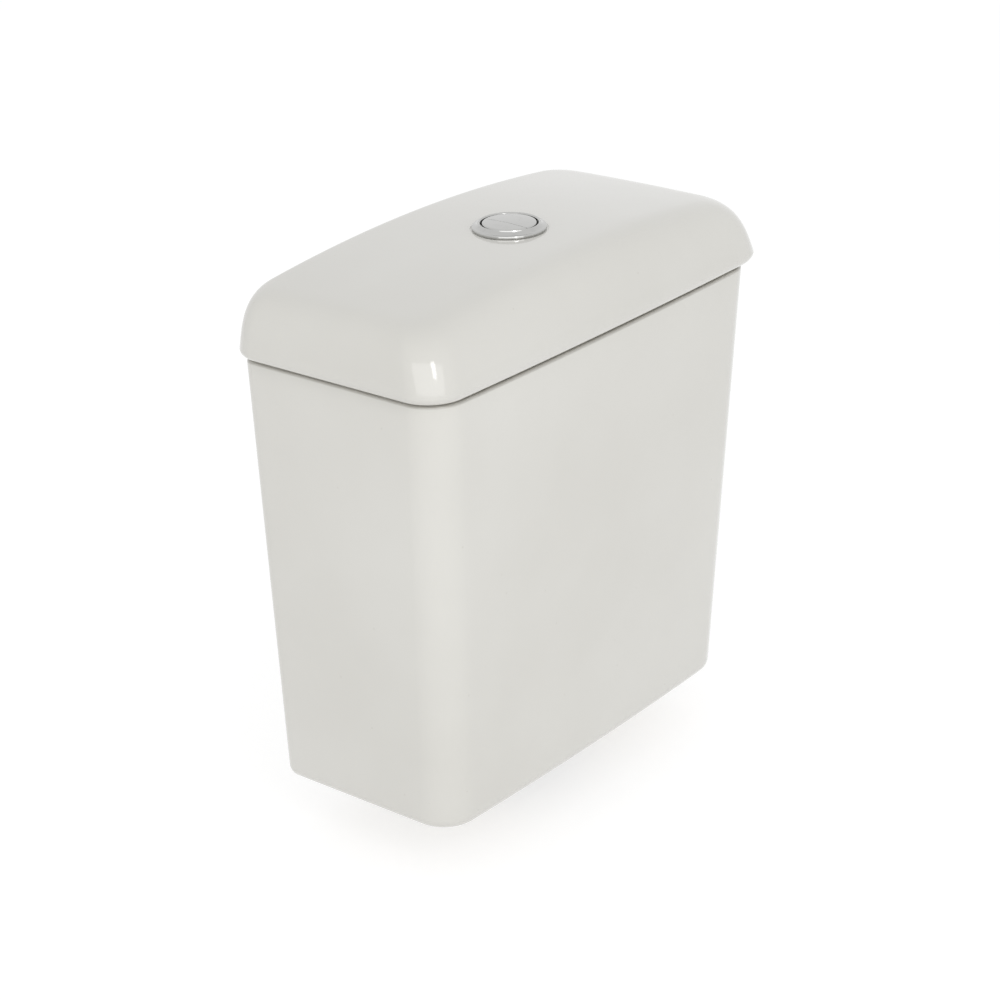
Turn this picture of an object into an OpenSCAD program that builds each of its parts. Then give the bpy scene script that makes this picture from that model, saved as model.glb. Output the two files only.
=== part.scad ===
// Close-coupled toilet cistern with a dual-flush push button, flush valve and fill valve.
// Millimetres. X is the width, the front faces -Y and Z is up. The origin is on the underside of
// the tank, on the axis of the flush outlet, which the flush valve and the push button share.

/* [Tank] */
// Width of the tank at the rim
tank_w = 370; // [340:1:430]
// Depth of the tank at the rim, without the bow of the front
tank_d = 174; // [166:1:210]
// Height of the rim above the underside
tank_h = 331; // [310:1:380]
// How far each side leans in at the underside
side_taper = 17; // [8:0.5:20]
// How far the front leans in at the underside
front_taper = 16.5; // [8:0.5:20]
// Radius of the front upright corners
front_r = 27; // [20:0.5:34]
// Radius of the back upright corners
back_r = 12; // [6:0.5:18]
// How far the front bows out in plan
front_bow = 3.6; // [0:0.1:7]
// Radius of the roll round the underside
base_roll = 9; // [5:0.5:12]
// Thickness of the tank walls
wall = 11; // [9:0.5:13]
// Thickness of the tank floor
floor_t = 12; // [9:0.5:15]
// Diameter of the two wall screw holes
wall_screw_d = 8; // [6:0.5:10]
// Distance between the wall screw holes
wall_screw_gap = 250; // [200:1:270]
// Depth of the wall screw holes below the rim
wall_screw_drop = 45; // [35:1:70]

/* [Lid] */
// Gap between rim and lid, filled by the buffers
lid_gap = 1.5; // [1:0.1:3]
// Overhang of the lid at each side
lid_side_over = 8; // [4:0.25:10]
// Overhang of the lid at the front
lid_front_over = 5; // [2:0.25:8]
// Overhang of the lid at the back
lid_back_over = 3; // [1:0.25:5]
// Height of the rolled lip, from the seam to the widest line
lid_lip = 7; // [5:0.5:11]
// Height of the lid at its ends
lid_side_h = 42.5; // [36:0.5:50]
// Rise of the top from the ends to the middle
lid_crown = 14; // [6:0.5:18]
// Rise of the top from front and back to the middle
lid_crown_y = 1.5; // [0.5:0.25:4]
// Width of the rounded shoulder at the sides
side_shoulder = 36.5; // [28:0.5:44]
// Width of the rounded shoulder at the front
front_shoulder = 44.5; // [36:0.5:52]
// Width of the rounded shoulder at the back
back_shoulder = 11.5; // [9:0.5:18]
// How far the sides of the lid lean in
side_lean = 7; // [0:0.5:12]
// How far the front of the lid leans in
front_lean = 11.5; // [0:0.5:18]
// How far the back of the lid leans in
back_lean = 1; // [0:0.25:4]
// Thickness of the top of the lid
lid_wall = 9; // [7:0.5:11]
// Depth of the locating rib that drops inside the rim
lid_rib_h = 6; // [4:0.5:10]
// Thickness of the locating rib
lid_rib_t = 6; // [5:0.5:8]
// Diameter of each buffer in the seam
buffer_d = 8; // [6:0.5:9]
// Distance of each buffer from the end of the tank
buffer_end = 74; // [50:1:100]

/* [Push buttons] */
// Diameter of the bezel
bezel_d = 53; // [51:0.5:60]
// Height of the bezel above its gasket
bezel_h = 4.4; // [3.6:0.1:5.5]
// Diameter of the round button that the two halves make up
button_d = 39.4; // [38.5:0.1:41]
// Stroke of each button
button_travel = 6; // [4:0.25:6]
// Place of the split between the halves, left of the middle
button_split = 4; // [2:0.25:5]
// Length of the barrel below the bezel
barrel_h = 38; // [34:0.5:44]
// Height of the barrel nut
barrel_nut_h = 8; // [6:0.5:10]
// Diameter of the push rods
rod_d = 5; // [4:0.25:5.5]
// Distance of each push rod from the middle plane
rod_x = 12; // [11.5:0.1:12.5]
// Wire thickness of the return springs
spring_wire = 0.9; // [0.6:0.1:1.1]
// Turns of the return springs
spring_turns = 6; // [4:1:8]

/* [Flush valve] */
// Diameter of the threaded tail
tail_d = 58; // [54:0.5:62]
// Length of the threaded tail below the tank
tail_len = 22; // [18:0.5:30]
// Diameter of the flange on the tank floor
flange_d = 84; // [80:0.5:92]
// Thickness of the sealing washer on the tank floor
base_washer_t = 3; // [2:0.25:5]
// Height of the back nut under the tank
back_nut_h = 10; // [8:0.5:14]
// Outside diameter of the overflow tube
tube_d = 28; // [26:0.5:29]
// Wall thickness of the overflow tube
tube_wall = 2; // [1.5:0.1:3]
// Outside diameter of the tower
tower_d = 64; // [62:0.5:70]
// Wall thickness of the tower
tower_wall = 2; // [1.5:0.1:2.5]
// Height of the open cage below the tower
cage_h = 30; // [24:0.5:36]
// Depth of the rocker axis below the rim
pivot_drop = 47; // [44:0.5:60]
// Height of the flush float
flush_float_h = 48; // [30:1:56]
// Height of the half-flush sleeve
sleeve_h = 16; // [12:0.5:20]

/* [Fill valve] */
// Distance of the fill valve from the right end of the tank
fill_end = 73; // [66:1:80]
// Place of the fill valve in the depth
fill_y = 8; // [2:1:14]
// Diameter of the inlet tail
inlet_d = 20.96; // [18:0.02:22]
// Length of the inlet tail
inlet_len = 27; // [20:0.5:32]
// Diameter of the shank in the tank floor
shank_d = 24; // [22:0.5:26]
// Diameter of the upper riser
riser_d = 20; // [18:0.5:22]
// Gap between the riser collar and the float above it
riser_gap = 10; // [6:0.5:30]
// Length of the upper riser inside the lower one
riser_insert = 36; // [25:1:45]
// Depth of the valve head below the rim
head_drop = 117; // [112:1:124]
// Diameter of the valve head
head_d = 38; // [34:0.5:42]
// Diameter of the float
float_d = 58; // [54:0.5:60]
// Height of the float
float_h = 70; // [50:1:78]
// Distance from the lever axis to the float link
lever_arm = 36; // [34:0.5:40]

/* [Coupling] */
// Distance between the coupling bolts
bolt_gap = 150; // [140:1:160]
// Diameter of the coupling bolts
bolt_d = 8; // [6:0.5:10]
// Length of the coupling bolts below the tank
bolt_len = 41; // [38:1:64]
// Outside diameter of the coupling seal
seal_d = 90; // [86:0.5:114]
// Diameter of the nose of the coupling seal
seal_nose_d = 70; // [69:0.5:76]
// Height of the coupling seal
seal_h = 20; // [18:0.5:26]

/* [Hidden] */
$fn = 64;
cut = 2;
run_fit = 0.05;
touch_gap = 0.4;
arc_n = 9;
run_n = 14;
side_n = 4;
curve_n = 3.4;
glaze = [0.88, 0.87, 0.84];
chrome = [0.72, 0.72, 0.73];
white_plastic = [0.9, 0.91, 0.92];
grey_plastic = [0.55, 0.58, 0.6];
blue_plastic = [0.25, 0.42, 0.68];
rubber = [0.12, 0.12, 0.13];
silicone = [0.7, 0.2, 0.16];
steel = [0.66, 0.67, 0.69];
brass = [0.76, 0.62, 0.32];

half_d = tank_d/2;
floor_r = 8;
rim_r = 1.5;

lid_z = tank_h + lid_gap;
lid_hw = tank_w/2 + lid_side_over;
lid_front = half_d + lid_front_over;
lid_back = half_d + lid_back_over;
lid_mid = (lid_back - lid_front)/2;
lid_half = (lid_back + lid_front)/2;
lid_front_r = front_r - 1;
lid_back_r = back_r + 8;
lid_foot = 1;
lid_rib_play = 2;
lid_rib_in = wall + lid_rib_play;
lid_cavity_in = lid_rib_in + lid_rib_t;
lid_top = lid_z + lid_side_h + lid_crown + lid_crown_y;
lid_under = lid_top - lid_wall;
spot_depth = 0.5;

button_y = lid_mid - front_bow/2;
gasket_t = 0.8;
seat_z = lid_top - spot_depth;
bezel_z = seat_z + gasket_t;
button_play = 0.4;
barrel_bore = button_d + 2*button_play;
barrel_wall = 1.5;
barrel_d = barrel_bore + 2*barrel_wall;
lid_hole_d = barrel_d + 2;
barrel_nut_d = barrel_d + 16;
barrel_floor_t = 3;
barrel_floor_z = bezel_z - barrel_h + barrel_floor_t;
button_top = bezel_z + bezel_h - 0.2;
button_h = 12;
button_bottom = button_top - button_h;
button_skin = 2.4;
button_dome = 0.7;
split_gap = 0.6;
rod_y = 3.2;
rod_boss_d = 10;
drain_d = 6;
drain_y = 13;
rod_top = button_top - button_skin - 1;
spring_r = rod_d/2 + 1.6;

pivot_z = tank_h - pivot_drop;
pad_h = 4;
rocker_hub = 5;
rocker_pin_d = 4;
nose_x = 20;
nose_r = 2.5;
rocker_tilt = 30.45*button_travel/6;
lift = nose_x*sin(rocker_tilt);
rocker_side = 0.3;
rocker_in = 3.2;
rocker_out = 9.2;
hub_out = 17.6;
cheek_in = 18;
cheek_t = 4;
cheek_hw = 9;
cheek_rib_h = 26;
cheek_rib_t = 3;

flange_z = floor_t + base_washer_t;
flange_t = 5;
bore_d = tail_d - 9;
seat_d = bore_d + 5;
seat_h = 7;
valve_seat_z = flange_z + flange_t + seat_h;
seal_t = 3;
tube_flange_z = valve_seat_z + seal_t;
cage_ring_t = 6;
cage_ring_z = flange_z + flange_t + cage_h - cage_ring_t;
tower_z = cage_ring_z + cage_ring_t;
cap_t = 5;
win_rise = 9;
win_w = 22;
win_h = 40;
slot_w = 7;
slot_over = 24;
vent_d = 6;
tower_drop = 57;
tower_top = pivot_z - tower_drop;
tower_in = tower_d - 2*tower_wall;
collar_drop = 44;
collar_z = pivot_z - collar_drop;
collar_h = 7;
collar_wall = 2.5;
collar_r = tube_d/2 + collar_wall;
tube_drop = 22;
tube_top = pivot_z - tube_drop;
tube_spigot = 12;
cross_hw = 5;
cross_t = 5;
bridge_z = tower_top;
bridge_t = 3;
bridge_play = 3;
window_w = 8;
window_z = 32;
window_drop = 12;
upright_x = nose_x + nose_r + 2;
upright_t = 3.5;
lug_t = 3;
lug_in = 15.2;
nose_gap = 0.5;
full_lug_z = pivot_z + nose_r + nose_gap;
half_lug_z = full_lug_z + lift + 0.1;
sleeve_play = 0.3;
sleeve_z = (tower_z + tower_top)/2 + 4;
bell_rise = 40;
flush_float_z = tower_z + bell_rise;
outlet_hole_d = tail_d + 6;
back_nut_d = (tail_d + seal_d)/2;
nut_body_d = (tail_d + back_nut_d)/2 + 2;
nut_rib_l = 5.5;
nut_rib_w = 5;
nut_flange_t = 3;
seal_floor = 4;
seal_edge = 3;

cone_over = 18;
cone_fall = 7;
plate_over = 12;
bolt_washer_d = bolt_d + cone_over;
fill_washer_t = 3;
shank_flange_z = floor_t + fill_washer_t;
shank_flange_t = 4;
shank_flange_d = shank_d + 16;
fill_clear = 3;
fill_x = max(tank_w/2 - fill_end, bolt_gap/2 + bolt_washer_d/2 + shank_flange_d/2 + fill_clear);
shank_end = -16;
locknut_h = 10;
fill_hole_d = shank_d + 2;
water_bore = 12;
strainer_n = 8;
slit_w = 0.9;
slit_h = 9;
riser_z = shank_flange_z + shank_flange_t;
riser_low_d = riser_d + 6;
riser_slip = 0.25;
collar_low = 10;
collar_cap = 6;
head_z = tank_h - head_drop;
float_drop = 32;
float_top = head_z - float_drop;
float_z = float_top - float_h;
riser_low_top = float_z - riser_gap - collar_cap;
riser_low_h = riser_low_top - riser_z;
head_h = 24;
cap_z = head_z + head_h;
fill_cap_h = 12;
fill_cap_top = cap_z + fill_cap_h;
fill_cap_d = head_d + 4;
lever_rise = 8;
lever_z = fill_cap_top + lever_rise;
lever_pin_d = 3;
ear_r = 4;
ear_t = 3;
nose_arm = 12;
lever_tilt = 16;
float_rise = lever_arm*sin(lever_tilt);
lever_half = 4.5;
lever_over = 4;
lever_flat = 12;
fork_end = 7;
fork_d = 15;
fork_play = 0.8;
lever_low = -2.1;
lever_high = 2.9;
link_x = -nose_arm - lever_arm;
link_d = 4;
knob_d = 10;
knob_h = 7;
ball_r = 4;
float_play = 0.6;

washer_h = 8;
steel_washer_t = 1.6;
bolt_hole_d = bolt_d + 4;
bolt_head_w = bolt_d + 7;
bolt_head_h = 5.3;
bolt_neck_d = bolt_d - 0.8;
bolt_neck_z = 2;

// Points of a quarter circle
function arc_pts(cx, cy, r, from) =
    [for (k = [0:arc_n]) [cx + r*cos(from + 90*k/arc_n), cy + r*sin(from + 90*k/arc_n)]];

// Points strictly between two others
function run_pts(p, q, n) = [for (k = [1:n - 1]) p + (q - p)*k/n];

// Plan outline with four rounded corners, counter-clockwise from the back right corner
function plan(hw, front, back, rf, rb) =
    let (br = arc_pts(hw - rb, back - rb, rb, 0))
    let (bl = arc_pts(-hw + rb, back - rb, rb, 90))
    let (fl = arc_pts(-hw + rf, -front + rf, rf, 180))
    let (fr = arc_pts(hw - rf, -front + rf, rf, 270))
    concat(br, run_pts(br[arc_n], bl[0], run_n), bl, run_pts(bl[arc_n], fl[0], side_n),
        fl, run_pts(fl[arc_n], fr[0], run_n), fr, run_pts(fr[arc_n], br[0], side_n));

// The front half of an outline bowed out, most in the middle of the width
function bowed(pts, hw, front, bow) =
    [for (p = pts) [p[0], p[1] - bow*max(0, -p[1]/front)*max(0, 1 - pow(p[0]/hw, 2))]];

// Middle of a list of points
function middle(pts, k = 0) = k == len(pts) - 1 ? pts[k]/len(pts) : pts[k]/len(pts) + middle(pts, k + 1);

// One solid through a chain of outlines with equal counts, closed by a fan at both ends
module loft(rings) {
    n = len(rings[0]);
    m = len(rings);
    sides = [for (i = [0:m - 2], j = [0:n - 1], h = [0, 1])
        let (a = i*n + j, b = i*n + (j + 1)%n)
        h == 0 ? [a, b, b + n] : [a, b + n, a + n]];
    first = [for (j = [0:n - 1]) [(j + 1)%n, j, m*n]];
    last = [for (j = [0:n - 1]) [(m - 1)*n + j, (m - 1)*n + (j + 1)%n, m*n + 1]];
    polyhedron(
        points = concat([for (r = rings, p = r) p], [middle(rings[0]), middle(rings[m - 1])]),
        faces = concat(first, sides, last),
        convexity = 8);
}

// Outline of the tank at a height, moved in from the outer face
function tank_ring(z, in) =
    let (t = 1 - z/tank_h)
    let (hw = tank_w/2 - side_taper*t - in)
    let (front = half_d - front_taper*t - in)
    let (pts = plan(hw, front, half_d - in, max(front_r - in, 4), max(back_r - in, 8)))
    [for (p = bowed(pts, hw, front, front_bow)) [p[0], p[1], z]];

function tank_rings() = concat(
    [for (k = [0:4]) tank_ring(floor_t + floor_r*(1 - cos(22.5*k)), wall + floor_r*(1 - sin(22.5*k)))],
    [tank_ring(tank_h - rim_r, wall), tank_ring(tank_h, wall - rim_r), tank_ring(tank_h, rim_r)],
    [tank_ring(tank_h - rim_r, 0)],
    [for (k = [5:-1:0]) tank_ring(base_roll*(1 - cos(18*k)), base_roll*(1 - sin(18*k)))]);

module cistern_tank() {
    color(glaze)
    difference() {
        loft(tank_rings());
        translate([0, 0, -cut])
            cylinder(d = outlet_hole_d, h = floor_t + 2*cut);
        for (s = [-1, 1])
            translate([s*bolt_gap/2, 0, -cut])
                cylinder(d = bolt_hole_d, h = floor_t + 2*cut);
        translate([fill_x, fill_y, -cut])
            cylinder(d = fill_hole_d, h = floor_t + 2*cut);
        for (s = [-1, 1])
            translate([s*wall_screw_gap/2, half_d - wall - cut, tank_h - wall_screw_drop])
                rotate([-90, 0, 0])
                    cylinder(d = wall_screw_d, h = wall + 2*cut);
    }
}

// Soft pads on the rim that carry the lid
module lid_buffers() {
    bx = tank_w/2 - buffer_end;
    back_in = wall/2;
    front_y = -half_d - front_bow*(1 - pow(2*bx/tank_w, 2)) + back_in;
    color(rubber)
    for (sx = [-1, 1], y = [front_y, half_d - back_in])
        translate([sx*bx, y, tank_h])
            cylinder(d = buffer_d, h = lid_gap);
}

// Rise of the crowned top above a height in the lid
function crown(x, y) =
    lid_crown*(1 - pow(x/lid_hw, 2)) + lid_crown_y*(1 - pow((y - lid_mid)/lid_half, 2));

// The widest line of the lid
lid_plan = bowed(plan(lid_hw, lid_front, lid_back, lid_front_r, lid_back_r), lid_hw, lid_front, front_bow);

// Outline of the lid moved in from its widest line at the sides, front and back
function lid_ring(z, up, a, b, c, shrink = 1) =
    [for (p = lid_plan)
        let (x = p[0]*(1 - a/lid_hw)*shrink)
        let (y = p[1]*(1 - (p[1] < 0 ? b/lid_front : c/lid_back))*shrink)
        [x, y, lid_z + z + up*crown(x, y)]];

function lip_ring(k) =
    let (f = 1 - sin(22.5*k), z = lid_lip*(1 - cos(22.5*k)))
    lid_ring(z, z/lid_side_h, (lid_side_over + lid_foot)*f, (lid_front_over + lid_foot)*f,
        (lid_back_over + lid_foot)*f);

// A leaning face that rounds over into the top
function shoulder_in(lean, width, f, s) = lean*s + (width - lean)*f;

function shoulder_ring(a, shrink = 1) =
    let (f = 1 - pow(cos(a), 2/curve_n))
    let (s = pow(sin(a), 2/curve_n))
    let (z = lid_lip + (lid_side_h - lid_lip)*s)
    lid_ring(z, z/lid_side_h, shoulder_in(side_lean, side_shoulder, f, s),
        shoulder_in(front_lean, front_shoulder, f, s), shoulder_in(back_lean, back_shoulder, f, s), shrink);

// Inside of the lid, from the foot of the cavity up to its ceiling
function cavity_ring(a, shrink = 1) =
    let (f = 1 - pow(cos(a), 2/curve_n))
    let (h = lid_side_h - lid_wall)
    let (z = lid_lip + (h - lid_lip)*pow(sin(a), 2/curve_n))
    let (a0 = lid_side_over + lid_cavity_in)
    let (b0 = lid_front_over + lid_cavity_in)
    let (c0 = lid_back_over + lid_cavity_in)
    lid_ring(z, z/h, a0 + f*max(side_shoulder + lid_wall/2 - a0, 4),
        b0 + f*max(front_shoulder + lid_wall/2 - b0, 4),
        c0 + f*max(back_shoulder + lid_wall/2 - c0, 4), shrink);

function foot_ring(z, in) =
    lid_ring(z, 0, lid_side_over + in, lid_front_over + in, lid_back_over + in);

function lid_rings() = concat(
    [for (t = [0.1, 0.26, 0.44, 0.62, 0.8]) shoulder_ring(90, t)],
    [for (a = [90, 82, 73, 63, 53, 43, 33, 23, 12]) shoulder_ring(a)],
    [for (k = [4:-1:0]) lip_ring(k)],
    [foot_ring(0, lid_rib_in), foot_ring(1 - lid_rib_h, lid_rib_in), foot_ring(-lid_rib_h, lid_rib_in + 1)],
    [foot_ring(-lid_rib_h, lid_cavity_in - 1), foot_ring(1 - lid_rib_h, lid_cavity_in)],
    [for (a = [0, 20, 40, 60, 76, 90]) cavity_ring(a)],
    [for (t = [0.8, 0.6, 0.35, 0.1]) cavity_ring(90, t)]);

// The button stands in the middle of the bowed lid, a little in front of the valve
module at_button(z) {
    translate([0, button_y, z])
        children();
}

module cistern_lid() {
    color(glaze)
    difference() {
        loft(lid_rings());
        at_button(lid_under - lid_wall)
            cylinder(d = lid_hole_d, h = 3*lid_wall);
        at_button(seat_z)
            cylinder(d = bezel_d + 2, h = lid_wall);
        at_button(lid_under - lid_wall)
            cylinder(d = barrel_nut_d + 4, h = lid_wall);
    }
}

// Chrome ring round the buttons: upright edge, hollow slope and rounded inner lip
module button_bezel() {
    ri = barrel_bore/2;
    ro = bezel_d/2;
    lip = 1.6;
    slope = [for (k = [1:5]) let (a = 15*k)
        [ro - 0.5 - (ro - 0.5 - ri - lip)*sin(a)/sin(75), 1.9 + (bezel_h - 1.9)*(1 - cos(a))/(1 - cos(75))]];
    color(chrome)
    at_button(bezel_z)
        rotate_extrude()
            polygon(concat([[ri, 0], [ro - 0.3, 0], [ro, 0.3], [ro, 1.4], [ro - 0.5, 1.9]], slope,
                [[ri + 0.5, bezel_h], [ri, bezel_h - 0.5]]));
}

module bezel_gasket() {
    color(rubber)
    at_button(seat_z)
        difference() {
            cylinder(d = bezel_d - 2, h = gasket_t);
            translate([0, 0, -cut])
                cylinder(d = barrel_d + 2*run_fit, h = gasket_t + 2*cut);
        }
}

// Threaded barrel through the lid, with a floor that guides the rods and carries the springs
module button_barrel() {
    color(white_plastic)
    difference() {
        at_button(bezel_z - barrel_h)
            cylinder(d = barrel_d, h = barrel_h);
        at_button(barrel_floor_z)
            cylinder(d = barrel_bore, h = barrel_h);
        for (s = [-1, 1])
            translate([s*rod_x, -s*rod_y, bezel_z - barrel_h - cut])
                cylinder(d = rod_d + 1, h = barrel_floor_t + 2*cut);
        for (s = [-1, 1])
            at_button(bezel_z - barrel_h - cut)
                translate([0, s*drain_y, 0])
                    cylinder(d = drain_d, h = barrel_floor_t + 2*cut);
    }
}

// Clamp nut under the lid with finger grips
module barrel_nut() {
    color(white_plastic)
    at_button(lid_under - barrel_nut_h)
        difference() {
            cylinder(d = barrel_nut_d, h = barrel_nut_h);
            translate([0, 0, -cut])
                cylinder(d = barrel_d + 2*run_fit, h = barrel_nut_h + 2*cut);
            for (k = [0:7])
                rotate(45*k)
                    translate([barrel_nut_d/2 + 2, 0, -cut])
                        cylinder(d = 9, h = barrel_nut_h - 2 + cut);
        }
}

// Domed round plate with an eased edge that the split cuts in two
module button_round(r, top, bottom) {
    ease = 0.6;
    dome = [for (k = [6:-1:0]) [(r - ease)*k/6, top + button_dome*(1 - pow(k/6, 2))]];
    rotate_extrude()
        polygon(concat([[0, bottom], [r, bottom], [r, top - ease]], dome));
}

// One half of the button; side is 1 for the right half and -1 for the left, edge is its straight side
module button_half(side, edge) {
    r = button_d/2;
    skin = 1.6;
    px = side*rod_x;
    py = -side*rod_y;
    far = 3*r;
    difference() {
        intersection() {
            at_button(0)
                button_round(r, button_top, button_bottom);
            translate([side > 0 ? edge : edge - far, -far, button_bottom - cut])
                cube([far, 2*far, far]);
        }
        difference() {
            intersection() {
                at_button(button_bottom - cut)
                    cylinder(r = r - skin, h = button_h - button_skin + cut);
                translate([side > 0 ? edge + skin : edge - skin - far, -far, button_bottom - 2*cut])
                    cube([far, 2*far, far]);
            }
            translate([px, py, button_bottom])
                cylinder(d = rod_boss_d, h = button_h);
        }
        translate([px, py, button_bottom - cut])
            cylinder(d = rod_d + 2*run_fit, h = rod_top - button_bottom + cut);
    }
}

module full_flush_button() {
    color(chrome)
        button_half(1, -button_split + split_gap/2);
}

module half_flush_button() {
    color(chrome)
        button_half(-1, -button_split - split_gap/2);
}

// Push rod with a round tip that ends just above its rocker
module push_rod(side) {
    tip = pivot_z + pad_h + touch_gap + rod_d/2;
    translate([side*rod_x, -side*rod_y, 0]) {
        translate([0, 0, tip])
            cylinder(d = rod_d, h = rod_top - tip);
        translate([0, 0, tip])
            sphere(d = rod_d);
    }
}

module full_push_rod() {
    color(grey_plastic)
        push_rod(1);
}

module half_push_rod() {
    color(grey_plastic)
        push_rod(-1);
}

// Coil spring between the barrel floor and the boss of a button
spring_low = barrel_floor_z + spring_wire/2 + run_fit;
spring_high = button_bottom - spring_wire/2 - run_fit;
spring_steps = 10*spring_turns;
function spring_pt(k) = [spring_r*cos(36*k), spring_r*sin(36*k),
    spring_low + (spring_high - spring_low)*k/spring_steps];
function spring_ring(k) =
    [for (j = [0:5]) let (q = 60*j)
        spring_pt(k) + spring_wire/2*[cos(q)*cos(36*k), cos(q)*sin(36*k), sin(q)]];
spring_rings = [for (k = [0:spring_steps]) spring_ring(k)];
spring_gap = min([for (i = [0:spring_steps - 6], j = [i + 6:spring_steps])
    norm(spring_pt(i) - spring_pt(j))]) - spring_wire;
echo(least_spring_gap = spring_gap);

module return_spring(side) {
    translate([side*rod_x, -side*rod_y, 0])
        loft([for (k = [spring_steps:-1:0]) spring_rings[k]]);
}

module full_return_spring() {
    color(steel)
        return_spring(1);
}

module half_return_spring() {
    color(steel)
        return_spring(-1);
}

// Flanged seat with the threaded tail
module valve_base() {
    color(white_plastic)
    rotate_extrude()
        polygon([[bore_d/2, -tail_len], [tail_d/2 - 1, -tail_len], [tail_d/2, 1 - tail_len],
            [tail_d/2, flange_z], [flange_d/2, flange_z], [flange_d/2, flange_z + flange_t - 1],
            [flange_d/2 - 1, flange_z + flange_t], [seat_d/2 + 1, flange_z + flange_t],
            [seat_d/2, flange_z + flange_t + 1], [seat_d/2, valve_seat_z], [bore_d/2, valve_seat_z]]);
}

// Open cage on the flange that carries the tower: two rings joined by six posts
module valve_cage() {
    ring_in = tower_in - 2;
    ring_out = tower_d + 6;
    cage_z = flange_z + flange_t;
    foot_h = 2.5;
    color(white_plastic) {
        difference() {
            union() {
                translate([0, 0, cage_ring_z])
                    cylinder(d = ring_out, h = cage_ring_t);
                translate([0, 0, cage_z])
                    cylinder(d = ring_out, h = foot_h);
            }
            translate([0, 0, cage_z - cut])
                cylinder(d = ring_in, h = cage_h + 2*cut);
        }
        for (k = [0:5])
            rotate(60*k + 30)
                translate([ring_in/2 + 0.5, -2.5, cage_z + foot_h - 1])
                    cube([(ring_out - ring_in)/2 - 1, 5, cage_ring_z - cage_z - foot_h + 2]);
    }
}

module base_washer() {
    color(rubber)
    translate([0, 0, floor_t])
        difference() {
            cylinder(d = flange_d - 4, h = base_washer_t);
            translate([0, 0, -cut])
                cylinder(d = tail_d + 2*run_fit, h = base_washer_t + 2*cut);
        }
}

// Large back nut under the tank with eight grip ribs
module back_nut() {
    color(white_plastic)
    translate([0, 0, -back_nut_h])
        difference() {
            union() {
                cylinder(d = nut_body_d, h = back_nut_h);
                translate([0, 0, back_nut_h - nut_flange_t])
                    cylinder(d = back_nut_d, h = nut_flange_t);
                for (k = [0:7])
                    rotate(45*k)
                        translate([back_nut_d/2 - 0.5 - nut_rib_l, -nut_rib_w/2, 0])
                            cube([nut_rib_l, nut_rib_w, back_nut_h - 1]);
            }
            translate([0, 0, -cut])
                cylinder(d = tail_d + 2*run_fit, h = back_nut_h + 2*cut);
        }
}

// Moulded seal over the back nut; the two share the room round the tail
module coupling_seal() {
    r = seal_d/2;
    socket = back_nut_d/2 + touch_gap;
    socket_z = -back_nut_h - touch_gap;
    throat = tail_d/2 + touch_gap;
    nose_z = -back_nut_h - seal_floor;
    color(rubber)
    rotate_extrude()
        polygon([[socket, 0], [r - seal_edge, 0], [r, -seal_edge], [r, nose_z + seal_edge],
            [r - seal_edge, nose_z], [seal_nose_d/2, nose_z], [seal_nose_d/2, -seal_h],
            [(seal_nose_d + throat)/3, -seal_h], [throat, seal_floor - seal_h],
            [throat, socket_z], [socket, socket_z]]);
}

// Tall slotted tower that guides the overflow tube
module valve_tower() {
    h = tower_top - tower_z;
    win_z = tower_z + win_rise;
    slot_z = sleeve_z - slot_over;
    slot_h = sleeve_h + 2*slot_over;
    color(white_plastic)
    difference() {
        union() {
            translate([0, 0, tower_z])
                cylinder(d = tower_d, h = h);
            translate([0, 0, tower_z])
                cylinder(d = tower_d + 5, h = 5);
            translate([0, 0, tower_top - cap_t - 3])
                cylinder(d = tower_d + 3, h = 3);
        }
        translate([0, 0, tower_z - cut])
            cylinder(d = tower_in, h = h - cap_t + cut);
        translate([0, 0, tower_z])
            cylinder(d = tube_d + 0.8, h = h + cut);
        for (k = [0:3])
            rotate(90*k + 45)
                translate([0, -win_w/2, win_z])
                    cube([tower_d, win_w, win_h]);
        for (k = [0:3])
            rotate(90*k)
                translate([0, -slot_w/2, slot_z])
                    cube([tower_d, slot_w, slot_h]);
        for (k = [0:5])
            rotate(60*k)
                translate([(tower_in + tube_d)/4 + 3, 0, tower_top - cap_t - cut])
                    cylinder(d = vent_d, h = cap_t + 2*cut);
    }
}

// Bridge on the tower with two cheeks that carry the rocker pin
module rocker_bridge() {
    ring_in = 2*(collar_r + bridge_play);
    color(blue_plastic)
    difference() {
        union() {
            translate([0, 0, bridge_z])
                difference() {
                    cylinder(d = tower_d - 2, h = bridge_t);
                    translate([0, 0, -cut])
                        cylinder(d = ring_in, h = bridge_t + 2*cut);
                }
            for (s = [-1, 1]) {
                translate([-cheek_hw, s > 0 ? cheek_in : -cheek_in - cheek_t, bridge_z])
                    cube([2*cheek_hw, cheek_t, pivot_z - bridge_z]);
                translate([0, s > 0 ? cheek_in + cheek_t : -cheek_in, pivot_z])
                    rotate([90, 0, 0])
                        cylinder(r = cheek_hw, h = cheek_t);
                translate([-cheek_rib_t/2, s > 0 ? cheek_in + cheek_t - 0.5 : -cheek_in - cheek_t - 4, bridge_z])
                    cube([cheek_rib_t, 4.5, cheek_rib_h]);
            }
        }
        translate([0, cheek_in + 3*cheek_t, pivot_z])
            rotate([90, 0, 0])
                cylinder(d = rocker_pin_d + 2*run_fit, h = 2*cheek_in + 6*cheek_t);
        for (s = [-1, 1])
            translate([-window_w/2, s*(cheek_in + cheek_t/2) - cheek_t, bridge_z + window_z])
                cube([window_w, 2*cheek_t, pivot_z - bridge_z - window_z - window_drop]);
    }
}

module rocker_pin() {
    len = 2*(cheek_in + cheek_t) + 2;
    color(steel)
    translate([0, len/2, pivot_z])
        rotate([90, 0, 0]) {
            cylinder(d = rocker_pin_d, h = len);
            translate([0, 0, -1.6])
                cylinder(d = rocker_pin_d + 3, h = 1.6);
        }
}

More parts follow.
